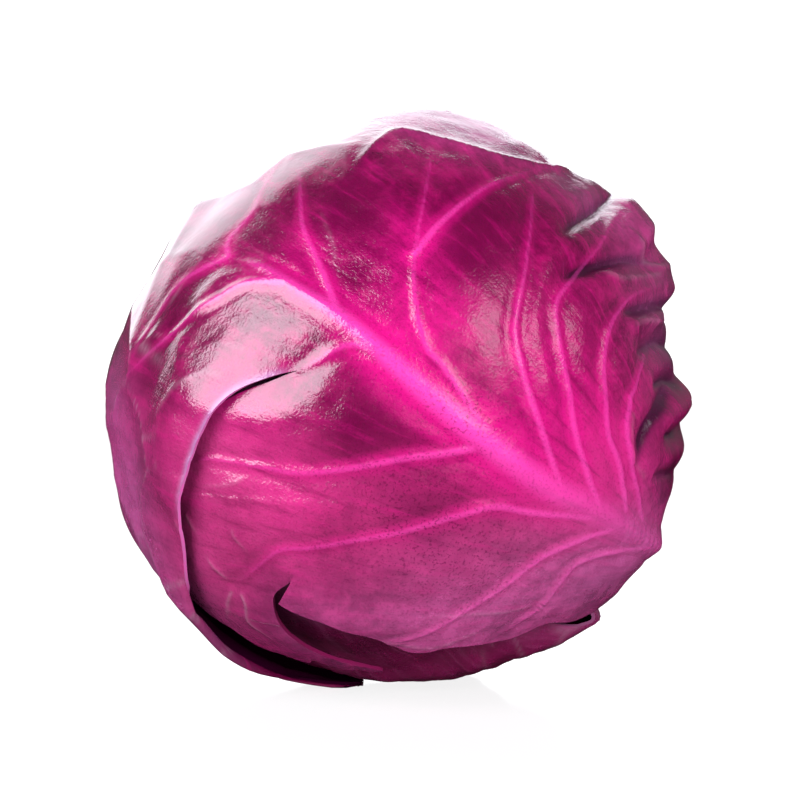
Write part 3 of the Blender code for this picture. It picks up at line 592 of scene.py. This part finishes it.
# places of the front leaf that differ: (across, up), amount, spread in degrees
blushSpots = (
    ((-29, -21), 0.85, 16), ((-44, -34), 0.6, 14), ((-38, -8), 0.5, 10), ((8, -44), 0.35, 20),
    ((28, -35), 0.35, 16), ((-46, -52), 0.5, 14), ((-76, -8), 0.9, 15), ((-68, -36), 0.9, 15),
    ((17, 15), 0.35, 14), ((55, -7), 0.3, 12), ((-4, -18), 0.3, 16), ((44, -14), 0.4, 12),
)
# darker patches of the front leaf, partly its own tone and partly painted shade
deepSpots = (
    ((-8, -5), 0.9, 9), ((6, -5), 0.6, 7), ((14, 28), 0.8, 9), ((20, 42), 0.8, 10), ((-10, 42), 0.9, 11),
    ((-30, 38), 0.7, 10), ((-38, 16), 0.3, 8), ((6, -22), 0.6, 8), ((36, 44), 0.6, 8), ((-48, 26), 0.8, 8),
    ((-58, 10), 0.6, 9), ((-14, 26), 0.4, 6),
)
hotSpots = (
    ((4, 30), 0.8, 9), ((10, 19), 0.6, 8), ((-18, 32), 0.8, 8), ((38, -6), 0.5, 12), ((52, -20), 0.4, 12),
    ((27, 8), 0.5, 9), ((-30, 2), 0.5, 10), ((-22, -18), 0.3, 10), ((58, 52), 0.3, 8), ((-40, 26), 0.5, 8),
    ((2, 10), 0.6, 8),
)
speckSpots = (
    ((2, -22), 0.9, 14), ((18, -36), 0.8, 14), ((-12, 2), 0.5, 10), ((14, -2), 0.8, 8), ((6, 26), 0.5, 8),
)
# waxy bloom, partly painted lilac sheen: on the left rim, the top, the right and low on the head
bloomAndSheenSpots = (
    ((8, -50), 0.55, 18), ((34, -44), 0.55, 18), ((60, -40), 0.75, 18), ((-20, -52), 0.4, 14),
    ((72, 20), 0.35, 18), ((62, 48), 0.4, 14), ((-74, -20), 0.8, 16), ((-68, -44), 0.75, 16),
    ((-58, -62), 0.6, 16), ((24, 76), 0.9, 14), ((0, 82), 0.7, 14), ((-50, 66), 0.4, 14), ((46, 56), 0.3, 10),
    ((-80, 4), 0.6, 12),
)


def linearColour(code):  # sRGB hex to the linear values that sockets take
    values = [int(code[i:i + 2], 16) / 255 for i in (1, 3, 5)]
    return tuple(v / 12.92 if v <= 0.04045 else ((v + 0.055) / 1.055) ** 2.4 for v in values) + (1.0,)


def addNode(tree, kind, settings=None, links=None):
    node = tree.nodes.new("ShaderNode" + kind)
    for key, value in (settings or {}).items():
        if isinstance(key, str) and hasattr(node, key):
            setattr(node, key, value)
        else:
            node.inputs[key].default_value = value
    for key, source in (links or {}).items():
        tree.links.new(source, node.inputs[key])
    return node


leafPatterns = (  # noise: mm across, detail, roughness
    ("broad", 24.0, 3.0, 0.55),
    ("patchy", 6.5, 4.0, 0.62),
    ("fine", 1.6, 3.0, 0.6),
    ("grain", 0.75, 2.0, 0.5),
)
leafFields = (
    "ribGap", "ribStrength", "furrowShade", "bloomAndSheen", "blush", "base", "paintedEdgeHighlight", "crumple", "speck", "deep",
    "hot", "flesh",
)
# layers of colour over dark and mid: pattern, its range, cover at each end, a second mask, the tone on top
leafLayers = (
    ("patchy", 0.42, 0.72, 0.0, 0.75, None, "bright"),
    ("fine", 0.46, 0.74, 0.0, 0.3, None, "bright"),
    ("broad", 0.25, 0.60, 0.6, 1.0, "blush", "blush"),
    ("coarseNet", 0.0, 0.07, 0.16, 0.0, None, "veinlet"),
    ("fineNet", 0.0, 0.10, 0.08, 0.0, None, "veinlet"),
    # painted shade: the dark tone over the deep mask, under covering leaves, on the underside and along the
    # hem
    ("patchy", 0.20, 0.60, 0.7, 1.0, "deep", "dark"),
    ("patchy", 0.25, 0.65, 0.5, 1.0, "hot", "halo"),
    ("ribGap", 0.8, 3.6, 0.8, 0.0, "ribStrength", "halo"),
    ("streak", 0.50, 0.75, 0.0, 0.35, None, "halo"),
    ("streak", 0.50, 0.28, 0.0, 0.45, None, "dark"),
    # painted shade: the furrow colour over folds and valleys
    ("furrowShade", 0.0, 1.0, 0.0, 1.0, None, "furrow"),
    ("ribGap", 0.15, 1.2, 0.88, 0.0, "ribStrength", "rib"),
    # the bloom colour, partly painted sheen
    ("patchy", 0.25, 0.75, 0.6, 1.0, "bloomAndSheen", "bloomAndSheen"),
    ("grain", 0.50, 0.72, 0.0, 0.2, None, "dark"),
    ("grain", 0.52, 0.70, 0.0, 0.4, "speck", "furrow"),
    ("fine", 0.30, 0.70, 0.8, 1.0, "base", "base"),
    # painted highlight: a pale grey over crease and facet lines
    ("patchy", 0.30, 0.60, 0.4, 0.9, "paintedEdgeHighlight", "paintedHighlight"),
    ("fine", 0.20, 0.60, 0.7, 1.0, "flesh", "tornEdge"),
)
leafRelief = (  # mm
    ("grain", 0.12), ("fine", 0.08), ("patchy", 0.06), ("streak", 0.22),
    ("coarseNet", -0.08), ("fineNet", -0.04),
)


def emptyMaterial(name):
    material = bpy.data.materials.new(name)
    material.use_nodes = True
    material.node_tree.nodes.clear()
    return material, material.node_tree


def waxyLeafMaterial(name, tone):
    # Fresh red cabbage leaf: a smooth, waxy skin over purple flesh. It gives a broad satin gloss with fine
    # sparkle, pink ribs over dark magenta, and a lilac bloom, partly painted sheen, that dulls the gloss
    # where it is thick.
    # Painted shade darkens its folds and where other leaves cover it, and a painted highlight lines its
    # creases.
    material, tree = emptyMaterial(name)
    place = addNode(tree, "TexCoord").outputs["Object"]
    inMm = addNode(tree, "Mapping", {"Scale": (1000, 1000, 1000)}, {"Vector": place}).outputs[0]
    flat = addNode(tree, "UVMap", {"uv_map": "flatLeaf"}).outputs[0]
    flatMm = addNode(tree, "Mapping", {"Scale": (400, 400, 400)}, {"Vector": flat}).outputs[0]
    masks = {}
    for pattern, size, detail, rough in leafPatterns:
        settings = {"Scale": 1 / size, "Detail": detail, "Roughness": rough}
        masks[pattern] = addNode(tree, "TexNoise", settings, {"Vector": inMm}).outputs["Fac"]
    # fibres fan out from the leaf's base
    fan = addNode(tree, "UVMap", {"uv_map": "veinFan"}).outputs[0]
    settings = {"Scale": 100.0, "Detail": 4.0, "Roughness": 0.65}
    masks["streak"] = addNode(tree, "TexNoise", settings, {"Vector": fan}).outputs["Fac"]
    # veinlets: a net of 7 mm meshes with 2.6 mm ones inside it, bent by noise
    settings = {"Scale": 1 / 6.0, "Detail": 3.0}
    bend = addNode(tree, "TexNoise", settings, {"Vector": flatMm}).outputs["Color"]
    settings = {"operation": "MULTIPLY_ADD", 1: (5, 5, 5)}
    bent = addNode(tree, "VectorMath", settings, {0: bend, 2: flatMm}).outputs[0]
    for pattern, size in (("coarseNet", 7.0), ("fineNet", 2.6)):
        settings = {"feature": "DISTANCE_TO_EDGE", "Scale": 1 / size}
        masks[pattern] = addNode(tree, "TexVoronoi", settings, {"Vector": bent}).outputs["Distance"]
    for field in leafFields:
        masks[field] = addNode(tree, "Attribute", {"attribute_name": field}).outputs["Fac"]

    ease = {"interpolation_type": "SMOOTHSTEP"}
    amount = addNode(tree, "MapRange", {**ease, 1: 0.36, 2: 0.62}, {0: masks["broad"]}).outputs[0]
    settings = {"data_type": "RGBA", 6: linearColour(tone["dark"]), 7: linearColour(tone["mid"])}
    colour = addNode(tree, "Mix", settings, {0: amount}).outputs[2]
    for pattern, low, high, least, most, second, over in leafLayers:
        settings = {**ease, 1: low, 2: high, 3: least, 4: most}
        amount = addNode(tree, "MapRange", settings, {0: masks[pattern]}).outputs[0]
        if second:
            links = {0: amount, 1: masks[second]}
            amount = addNode(tree, "Math", {"operation": "MULTIPLY"}, links).outputs[0]
        settings = {"data_type": "RGBA", 7: linearColour(tone[over])}
        colour = addNode(tree, "Mix", settings, {0: amount, 6: colour}).outputs[2]

    smooth, dull = tone["roughness"]
    settings = {**ease, 1: 0.3, 2: 0.7, 3: smooth, 4: dull}
    roughness = addNode(tree, "MapRange", settings, {0: masks["patchy"]}).outputs[0]
    for field, value in (("bloomAndSheen", tone["bloomRoughness"]), ("crumple", tone["crumpleRoughness"])):
        settings = {"data_type": "FLOAT", 3: value}
        roughness = addNode(tree, "Mix", settings, {0: masks[field], 2: roughness}).outputs[0]

    relief = addNode(tree, "Value").outputs[0]
    for pattern, height in leafRelief:
        settings = {"operation": "MULTIPLY_ADD", 1: height}
        relief = addNode(tree, "Math", settings, {0: masks[pattern], 2: relief}).outputs[0]
    taut = addNode(tree, "MapRange", {3: 1.0, 4: 0.3}, {0: masks["crumple"]}).outputs[0]
    links = {"Height": relief, "Strength": taut}
    bump = addNode(tree, "Bump", {"Distance": 0.001}, links).outputs[0]

    settings = {
        "Metallic": 0.0, "IOR": 1.43,
        "Subsurface Weight": 0.06, "Subsurface Radius": (0.003, 0.0006, 0.0014), "Subsurface Scale": 1.0,
    }
    links = {"Base Color": colour, "Roughness": roughness, "Normal": bump}
    shader = addNode(tree, "BsdfPrincipled", settings, links)
    addNode(tree, "OutputMaterial", None, {"Surface": shader.outputs[0]})
    return material


fleshKinds = (  # name, tones, roughness, sheen
    ("tornLeafFlesh_", ("rib", "tornEdge", "tornWine"), 0.3, 0.5),
    # the inner faces are painted dark, as shade
    ("shadedInnerLeafSkin_", ("inside", "dark", "furrow"), 0.9, 0.0),
)


def leafFleshMaterial(name, low, high, deep, roughness, sheen):
    # Leaf flesh without its waxy skin, as torn rims and inner faces show it: finely speckled and matt, lilac,
    # and wine red low on the head, which is painted shade.
    material, tree = emptyMaterial(name)
    place = addNode(tree, "TexCoord").outputs["Object"]
    settings = {"Scale": 600.0, "Detail": 3.0}
    speckle = addNode(tree, "TexNoise", settings, {"Vector": place}).outputs["Fac"]
    settings = {"data_type": "RGBA", 6: linearColour(low), 7: linearColour(high)}
    colour = addNode(tree, "Mix", settings, {0: speckle}).outputs[2]
    # painted shade: the flesh turns to the deep colour where this mask is set
    wineShade = addNode(tree, "Attribute", {"attribute_name": "wineShade"}).outputs["Fac"]
    settings = {"data_type": "RGBA", 7: linearColour(deep)}
    colour = addNode(tree, "Mix", settings, {0: wineShade, 6: colour}).outputs[2]
    settings = {"Roughness": roughness, "Specular IOR Level": sheen}
    shader = addNode(tree, "BsdfPrincipled", settings, {"Base Color": colour})
    addNode(tree, "OutputMaterial", None, {"Surface": shader.outputs[0]})
    return material


def startGrid(name, cells):
    bpy.ops.object.select_all(action="DESELECT")
    bpy.ops.mesh.primitive_grid_add(x_subdivisions=cells, y_subdivisions=cells, size=2)
    leaf = bpy.context.object
    leaf.name = name
    leaf.data.name = name
    return leaf


def ringsOf(mesh):  # the ring and the angle that each place of the square grid takes on the round leaf
    places = np.empty(len(mesh.vertices) * 3)
    mesh.vertices.foreach_get("co", places)
    x, y = places.reshape(-1, 3)[:, :2].T
    byX = np.abs(x) >= np.abs(y)
    wide = np.where(byX, x, y)
    ratio = np.where(byX, y, x) / np.where(wide == 0, 1, wide)
    angle = np.where(byX, 45 * ratio + np.where(x > 0, 0, 180), np.where(y > 0, 90, 270) - 45 * ratio)
    return np.abs(wide), angle % 360


def tearGrid(mesh, tearFrom, hookFrom):  # opens the two tears, and tells each side of a tear from the other
    bm = bmesh.new()
    bm.from_mesh(mesh)
    close = 1e-4
    torn = []
    for edge in bm.edges:
        a, b = edge.verts[0].co, edge.verts[1].co
        onTear = abs(a.y) < close and abs(b.y) < close and min(a.x, b.x) > tearFrom - close
        onHook = abs(a.x) < close and abs(b.x) < close and max(a.y, b.y) < -hookFrom + close
        if onTear or onHook:
            torn.append(edge)
    bmesh.ops.split_edges(bm, edges=torn)
    bm.verts.ensure_lookup_table()
    sides = np.zeros(len(bm.verts))
    for v in bm.verts:
        if abs(v.co.y) < close and v.co.x > tearFrom + close:
            sides[v.index] = 1 if sum(f.calc_center_median().y for f in v.link_faces) > 0 else -1
        if abs(v.co.x) < close and v.co.y < -hookFrom - close:
            sides[v.index] = 2 if sum(f.calc_center_median().x for f in v.link_faces) > 0 else -2
    bm.to_mesh(mesh)
    bm.free()
    return sides


def stalkLimits(angles, turnOf, axes, radius):  # how far out a leaf may reach, clear of the stalk
    clear = math.degrees(math.asin((head["stalkRadius"] + head["stalkClear"]) / radius))
    outs = np.arange(30.0, 116.0, 0.25)
    limits = []
    for angle in angles:
        n = direction(outs, turnOf(outs, np.full(len(outs), angle)), axes)
        near = apart(n, stalkWay) < clear
        limits.append(outs[np.argmax(near)] if near.any() else 999.0)
    return np.array(limits)


def laidOnHead(leaf, n, r, level):  # the underside is pressed flat, with a rounded turn up from the floor
    line = n * r[:, None]
    deep = level - (middle[2] + line[:, 2])  # mm below the level
    height = level + 0.5 * (np.sqrt(deep**2 + head["floorTurn"] ** 2) - deep) - 0.1
    share = np.where(line[:, 2] < -20, (height - middle[2]) / np.minimum(line[:, 2], -1e-3), 1.0)
    points = middle + line * share[:, None]
    points[:, 2] = np.maximum(points[:, 2], 0.02)
    leaf.data.vertices.foreach_set("co", (points * 0.001).ravel())
    leaf.data.update()
    face = leaf.data.polygons[len(leaf.data.polygons) // 2]
    if np.array(face.normal) @ (np.array(face.center) * 1000 - middle) < 0:
        leaf.data.flip_normals()


def fanFrom(across, up, base):  # fibres 1.5 degrees wide and 40 mm long that fan out from the leaf's base
    away = np.hypot(across - base[0], up - base[1]) * perDegree
    swing = np.degrees(np.arctan2(up - base[1], across - base[0]) + math.pi) % 360
    return np.stack([swing / 1.5, away / 40.0], axis=1) / 100.0


def writeFields(leaf, fields, flat, fan):
    mesh = leaf.data
    for name, values in fields.items():
        mesh.attributes.new(name, "FLOAT", "POINT").data.foreach_set("value", values.astype(np.float32))
    uv = mesh.uv_layers.active
    uv.name = "flatLeaf"
    corners = np.empty(len(mesh.loops), dtype=np.int64)
    mesh.loops.foreach_get("vertex_index", corners)
    uv.data.foreach_set("uv", (flat[corners] / 400.0 + 0.5).astype(np.float32).ravel())
    uv = mesh.uv_layers.new(name="veinFan")
    uv.data.foreach_set("uv", fan[corners].astype(np.float32).ravel())


def applied(piece, kind, settings):
    modifier = piece.modifiers.new(kind.title(), kind)
    for key, value in settings.items():
        setattr(modifier, key, value)
    bpy.context.view_layer.objects.active = piece
    bpy.ops.object.modifier_apply(modifier=modifier.name)


def thickened(leaf, thickness, innerKept):
    leaf.vertex_groups.new(name="innerFace")
    applied(leaf, "SOLIDIFY", {
        "thickness": thickness * 0.001, "offset": -1.0, "shell_vertex_group": "innerFace",
        "material_offset": 2, "material_offset_rim": 1, "use_quality_normals": True,
    })
    applied(leaf, "DECIMATE", {"ratio": 0.5 + 0.5 * innerKept, "vertex_group": "innerFace"})
    bpy.ops.object.select_all(action="DESELECT")
    leaf.select_set(True)
    bpy.ops.object.shade_smooth_by_angle(angle=math.radians(60))
    leaf.vertex_groups.clear()
    for vertex in leaf.data.vertices:  # a rolled lip's inner face stays above the floor too
        vertex.co.z = max(vertex.co.z, 0.00001)


def spotSum(across, up, spots):
    total = np.zeros(len(across))
    for (x, y), amount, spread in spots:
        total = total + amount * np.exp(-(((across - x) ** 2 + (up - y) ** 2) / spread**2))
    return np.clip(total, 0, 1)


def finishLeaf(leaf, node, tone, label, settings):
    leaf.data.materials.clear()
    leaf.data.materials.append(waxyLeafMaterial("waxyCabbageLeaf_" + label, tone))
    for name, keys, roughness, sheen in fleshKinds:
        colours = [tone[key] for key in keys]
        leaf.data.materials.append(leafFleshMaterial(name + label, *colours, roughness, sheen))
    thickened(leaf, settings["thickness"], settings["innerKept"])
    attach(leaf, "root")
    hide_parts(node)
    print(label, len(leaf.data.polygons), "faces")


def makeFrontLeaf():
    leaf = startGrid("frontLeaf", frontLeaf["cells"])
    hookStart = frontLeaf["hookStart"]
    split = frontLeaf["hookRing"] / (frontLeaf["cells"] / 2)
    sides = tearGrid(leaf.data, split * frontLeaf["tearStart"] / hookStart, split)
    ring, angle = ringsOf(leaf.data)
    angle = np.where(sides == 1, 0.0, np.where(sides == -1, 360.0, angle))
    angle = np.interp(angle, (0, 270, 360), (0, hookAngle, 360))
    angle = np.where(sides == -2, hookAngle, np.where(sides == 2, hookAngle + 1e-6, angle))
    table = np.concatenate([np.arange(0, hookAngle, 1.5), [hookAngle]])
    limit = np.interp(angle, table, stalkLimits(table, frontTurn, frontAxes, head["radius"]))
    reach = np.minimum(frontReach(angle), np.where(angle <= hookAngle, limit, 999))
    beyond = hookStart + (reach - hookStart) * (ring - split) / (1 - split)
    out = np.where(ring <= split, hookStart * ring / split, beyond)
    turn = frontTurn(out, angle)
    n, r, fields = frontSurface(out, turn, angle)
    across, up = onLeaf(out, turn)
    toStalk = apart(n, stalkWay)
    r = r - 3.0 * smoothStep(17, 10.5, toStalk)
    # waxy bloom together with painted sheen
    fields["bloomAndSheen"] = 0.8 * spotSum(across, up, bloomAndSheenSpots)
    fields["blush"] = spotSum(across, up, blushSpots) * (1 - fields["bloomAndSheen"])
    fields["base"] = 0.6 * smoothStep(17, 10, toStalk)
    fields["speck"] = spotSum(across, up, speckSpots) + 0.2 * bell(fields["ribGap"] / 3.5)
    # painted shade: the rolled hem's shade joins the darker patches
    fields["deep"] = np.maximum(spotSum(across, up, deepSpots), fields.pop("hemShade"))
    fields["hot"] = spotSum(across, up, hotSpots) * (1 - fields["deep"])
    lipOut, lipTurn, lipLift, lipSpread = frontLeaf["lipLift"]
    laidOnHead(leaf, n, r, lipLift * bell(awayFrom(n, lipOut, lipTurn) / lipSpread))
    flat = np.stack(onLeaf(out, angle), axis=1) * perDegree
    writeFields(leaf, fields, flat, fanFrom(across, up, frontLeaf["fanBase"]))
    finishLeaf(leaf, "leaf_front", frontTone, "front", frontLeaf)


def makeWrapperLeaf(node, label, tone):
    leaf = startGrid(label + "Leaf", wrapperLeaf["cells"])
    axes = leafAxes(node)
    ring, turn = ringsOf(leaf.data)
    table = np.arange(0, 361, 2.5)
    radius = head["radius"] - head["layers"][node] * head["layerStep"]
    limits = stalkLimits(table, lambda out, angle: angle, axes, radius)
    # the notch round the stalk widens as it runs out
    slant = wrapperLeaf["notchSlant"] * np.abs((table[:, None] - table[None, :] + 180) % 360 - 180)
    limit = np.interp(turn, table, (limits[None, :] + slant).min(axis=1))
    reach, inner = leafReach(node, turn), wrapperLeaf["innerShare"]
    rim = np.minimum(reach, limit) - inner * reach
    out = np.minimum(ring, inner) * reach + np.maximum(ring - inner, 0) / (1 - inner) * rim
    n, r, fields = wrapperSurface(node, out, turn)
    toStalk = apart(n, stalkWay)
    r = r - 2.0 * smoothStep(17, 10.5, toStalk)
    spot = n * head["radius"]
    dry = smoothStep(-0.84, -0.6, n[:, 2])  # no bloom low on the head
    fields["bloomAndSheen"] = dry * np.clip(0.45 + 0.8 * noiseAt(spot, 30.0, 50 + head["layers"][node]), 0, 0.9)
    fields["blush"] = dry * np.clip(0.2 + 0.7 * noiseAt(spot, 26.0, 60 + head["layers"][node]), 0, 0.8)
    fields["base"] = 0.9 * smoothStep(22, 10, toStalk)
    fields["speck"] = 0.5 * bell(fields["ribGap"] / 3.5)
    # painted shade: darker under the leaves that cover it and where it faces the floor
    fields["deep"] = np.maximum(1 - np.prod(1 - covers(n, node), axis=0), smoothStep(-0.70, -0.84, n[:, 2]))
    laidOnHead(leaf, n, r, floorLevel(n, node))
    flat = onLeaf(out, turn)
    writeFields(leaf, fields, np.stack(flat, axis=1) * perDegree, fanFrom(*flat, wrapperLeaf["fanBase"]))
    finishLeaf(leaf, node, tone, label, wrapperLeaf)


makeFrontLeaf()
makeWrapperLeaf("leaf_top_back", "topBack", backTone)
makeWrapperLeaf("leaf_low_back", "lowBack", underTone)
makeWrapperLeaf("leaf_under", "under", underTone)


stump = {  # the cut stalk
    "cells": 120,
    # along the skin from the middle of the cut to the foot: radius and height from the head's middle
    "radius": ((0, 0), (0.44, 12.2), (0.50, 13.0), (0.56, 13.3), (0.88, 13.0), (0.93, 12), (1, 0)),
    "height": (
        (0, 82.9), (0.25, 83.3), (0.44, 84.0), (0.50, 83.6), (0.56, 82.6), (0.88, 64), (0.93, 62.6),
        (1, 62.6),
    ),
    # colours over the pith, outwards: where each starts and ends, its cover and colour
    "layers": ((0.50, 0.58, 0.6, "#7c5a62"), (0.66, 0.74, 0.8, "#9c8088"), (0.88, 0.95, 1.0, "#5c2148")),
}


def cutStalkMaterial(name):
    # Cut stalk: pale wet pith, a ring of woody bundles and a thin purple rind, dulled where the cut is dry.
    material, tree = emptyMaterial(name)
    place = addNode(tree, "TexCoord").outputs["Object"]
    noises = [{"Scale": 900.0, "Detail": 4.0}, {"Scale": 140.0, "Detail": 3.0}]
    fibre, stain = (addNode(tree, "TexNoise", kind, {"Vector": place}).outputs["Fac"] for kind in noises)
    core = addNode(tree, "Attribute", {"attribute_name": "core"}).outputs["Fac"]
    settings = {"data_type": "RGBA", 6: linearColour("#8f8674"), 7: linearColour("#a89a8e")}
    colour = addNode(tree, "Mix", settings, {0: fibre}).outputs[2]
    for low, high, cover, over in stump["layers"]:
        settings = {"interpolation_type": "SMOOTHSTEP", 1: low, 2: high, 4: cover}
        amount = addNode(tree, "MapRange", settings, {0: core}).outputs[0]
        settings = {"data_type": "RGBA", 7: linearColour(over)}
        colour = addNode(tree, "Mix", settings, {0: amount, 6: colour}).outputs[2]
    dry = addNode(tree, "MapRange", {1: 0.45, 2: 0.75, 4: 0.5}, {0: stain}).outputs[0]
    settings = {"data_type": "RGBA", 7: linearColour("#6e5a48")}
    colour = addNode(tree, "Mix", settings, {0: dry, 6: colour}).outputs[2]
    bump = addNode(tree, "Bump", {"Distance": 0.0003}, {"Height": fibre}).outputs[0]
    links = {"Base Color": colour, "Normal": bump}
    shader = addNode(tree, "BsdfPrincipled", {"Roughness": 0.5, "IOR": 1.4}, links)
    addNode(tree, "OutputMaterial", None, {"Surface": shader.outputs[0]})
    return material


def makeStump():
    piece = startGrid("stalkStump", stump["cells"])
    ring, angle = ringsOf(piece.data)
    turn = np.radians(angle)
    radius, height = easedCurve(ring, stump["radius"]), easedCurve(ring, stump["height"])
    side = smoothStep(0.30, 0.5, ring)
    # lobed where leaf bases grew, grooved along the side, with sunk rings on the cut
    radius = radius * (1 + side * (0.022 * np.cos(3 * turn + 0.7) + 0.012 * np.cos(7 * turn)))
    radius = radius - 0.25 * smoothStep(0.5, 0.6, ring) * np.abs(np.sin(14 * turn + 0.02 * height))
    height = height - 0.16 * smoothStep(0.5, 0.42, ring) * (1 + np.cos(radius * 2.6))
    height = height + 0.5 * side * np.cos(2 * turn)
    spread = np.cos(turn)[:, None] * stalkAxes[1] + np.sin(turn)[:, None] * stalkAxes[2]
    points = middle + height[:, None] * stalkWay + radius[:, None] * spread
    points = points + 0.18 * noiseAt(points, 2.5, 71)[:, None] * stalkWay
    piece.data.vertices.foreach_set("co", (points * 0.001).ravel())
    core = np.where(ring < 0.5, radius / 13.0, 1.1)
    piece.data.attributes.new("core", "FLOAT", "POINT").data.foreach_set("value", core.astype(np.float32))
    piece.data.update()
    if np.array(piece.data.polygons[len(piece.data.polygons) // 2].normal) @ stalkWay < 0:
        piece.data.flip_normals()
    applied(piece, "WELD", {"merge_threshold": 0.00005})
    bpy.ops.object.shade_smooth_by_angle(angle=math.radians(50))
    piece.data.materials.append(cutStalkMaterial("cutStalk"))
    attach(piece, "root")
    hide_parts("stalk")
    print("stump", len(piece.data.polygons), "faces")


makeStump()
for slot in bpy.data.objects["heart"].material_slots:
    slot.material = waxyLeafMaterial("waxyCabbageLeaf_heart", darkTone)

studio = {  # floor, camera and light, in metres
    "floorRadius": 0.8,
    "cameraAway": 2.0,
    "cameraLift": 6.0,
    "lens": 305.0,
    "shift": (0.00625, 0.0025),
    # each light: degrees round from the front to the right, degrees up, m away, m wide and tall, W, tint
    "keySoftbox": (-56, 26, 0.9, (0.84, 0.8), 29.0, (0.97, 0.92, 1)),
    "backSoftbox": (196, 25, 1.0, (1.1, 0.75), 9.5, (0.93, 0.94, 1)),
    "rightSoftbox": (50, 28, 1.0, (0.5, 0.4), 3.2, (1, 0.97, 1)),
    "fillSoftbox": (28, 8, 1.3, (0.8, 0.8), 57.0, (1, 0.95, 1)),
}


def aimed(thing, target):
    way = np.array(target) - np.array(thing.location)
    pitch = math.atan2(way[2], math.hypot(way[0], way[1]))
    turn = math.atan2(way[1], way[0])
    thing.rotation_euler = (math.pi / 2 + pitch, 0.0, turn - math.pi / 2)


def addSoftbox(name, target):
    turn, up, away, size, power, tint = studio[name]
    turn, up = math.radians(turn), math.radians(up)
    light = bpy.data.lights.new(name, "AREA")
    light.shape = "RECTANGLE"
    light.size, light.size_y = size
    light.energy = power
    light.color = tint
    lamp = bpy.data.objects.new(name, light)
    way = np.array([math.sin(turn) * math.cos(up), -math.cos(turn) * math.cos(up), math.sin(up)])
    lamp.location = np.array(target) + way * away
    bpy.context.scene.collection.objects.link(lamp)
    aimed(lamp, target)
    return lamp


centre = middle * 0.001
for name in ("keySoftbox", "backSoftbox", "rightSoftbox"):
    addSoftbox(name, centre)
addSoftbox("fillSoftbox", centre).visible_glossy = False  # it lifts the shade without a highlight of its own

bpy.ops.object.select_all(action="DESELECT")
bpy.ops.mesh.primitive_circle_add(vertices=128, radius=studio["floorRadius"], fill_type="NGON")
floor = bpy.context.object
floor.name = "studioFloor"
floor.visible_glossy = False  # no pale haze from it in the wax
# White studio acrylic: bright, with a weak blurred reflection of what stands on it.
acrylic, tree = emptyMaterial("whiteAcrylicFloor")
settings = {
    "Base Color": (0.09, 0.09, 0.092, 1), "Roughness": 0.25, "Specular IOR Level": 0.2,
    "Emission Color": (1, 1, 1, 1), "Emission Strength": 0.84,
}
addNode(tree, "OutputMaterial", None, {"Surface": addNode(tree, "BsdfPrincipled", settings).outputs[0]})
floor.data.materials.append(acrylic)

world = bpy.data.worlds.new("studio")
bpy.context.scene.world = world
world.use_nodes = True
tree = world.node_tree
tree.nodes.clear()
way = addNode(tree, "TexCoord").outputs["Generated"]
parts = addNode(tree, "SeparateXYZ", None, {0: way}).outputs
behind = addNode(tree, "MapRange", {1: -0.4, 2: 0.9, 3: 0.012, 4: 0.15}, {0: parts[1]}).outputs[0]
above = addNode(tree, "MapRange", {1: -0.15, 2: 0.15, 3: 0.04, 4: 1.0}, {0: parts[2]}).outputs[0]
level = addNode(tree, "Math", {"operation": "MULTIPLY"}, {0: behind, 1: above}).outputs[0]
seen = addNode(tree, "LightPath").outputs["Is Camera Ray"]
level = addNode(tree, "Mix", {"data_type": "FLOAT", 3: 1.3}, {0: seen, 2: level}).outputs[0]
glow = addNode(tree, "Background", {"Color": (1, 1, 1, 1)}, {"Strength": level}).outputs[0]
addNode(tree, "OutputWorld", None, {"Surface": glow})

camera = bpy.data.objects.new("camera", bpy.data.cameras.new("camera"))
lift = math.radians(studio["cameraLift"])
camera.location = centre + studio["cameraAway"] * np.array([0, -math.cos(lift), math.sin(lift)])
camera.data.lens = studio["lens"]
camera.data.shift_x, camera.data.shift_y = studio["shift"]
bpy.context.scene.collection.objects.link(camera)
aimed(camera, centre)
bpy.context.scene.camera = camera
bpy.context.scene.view_settings.view_transform = "Standard"
print("scene ready")
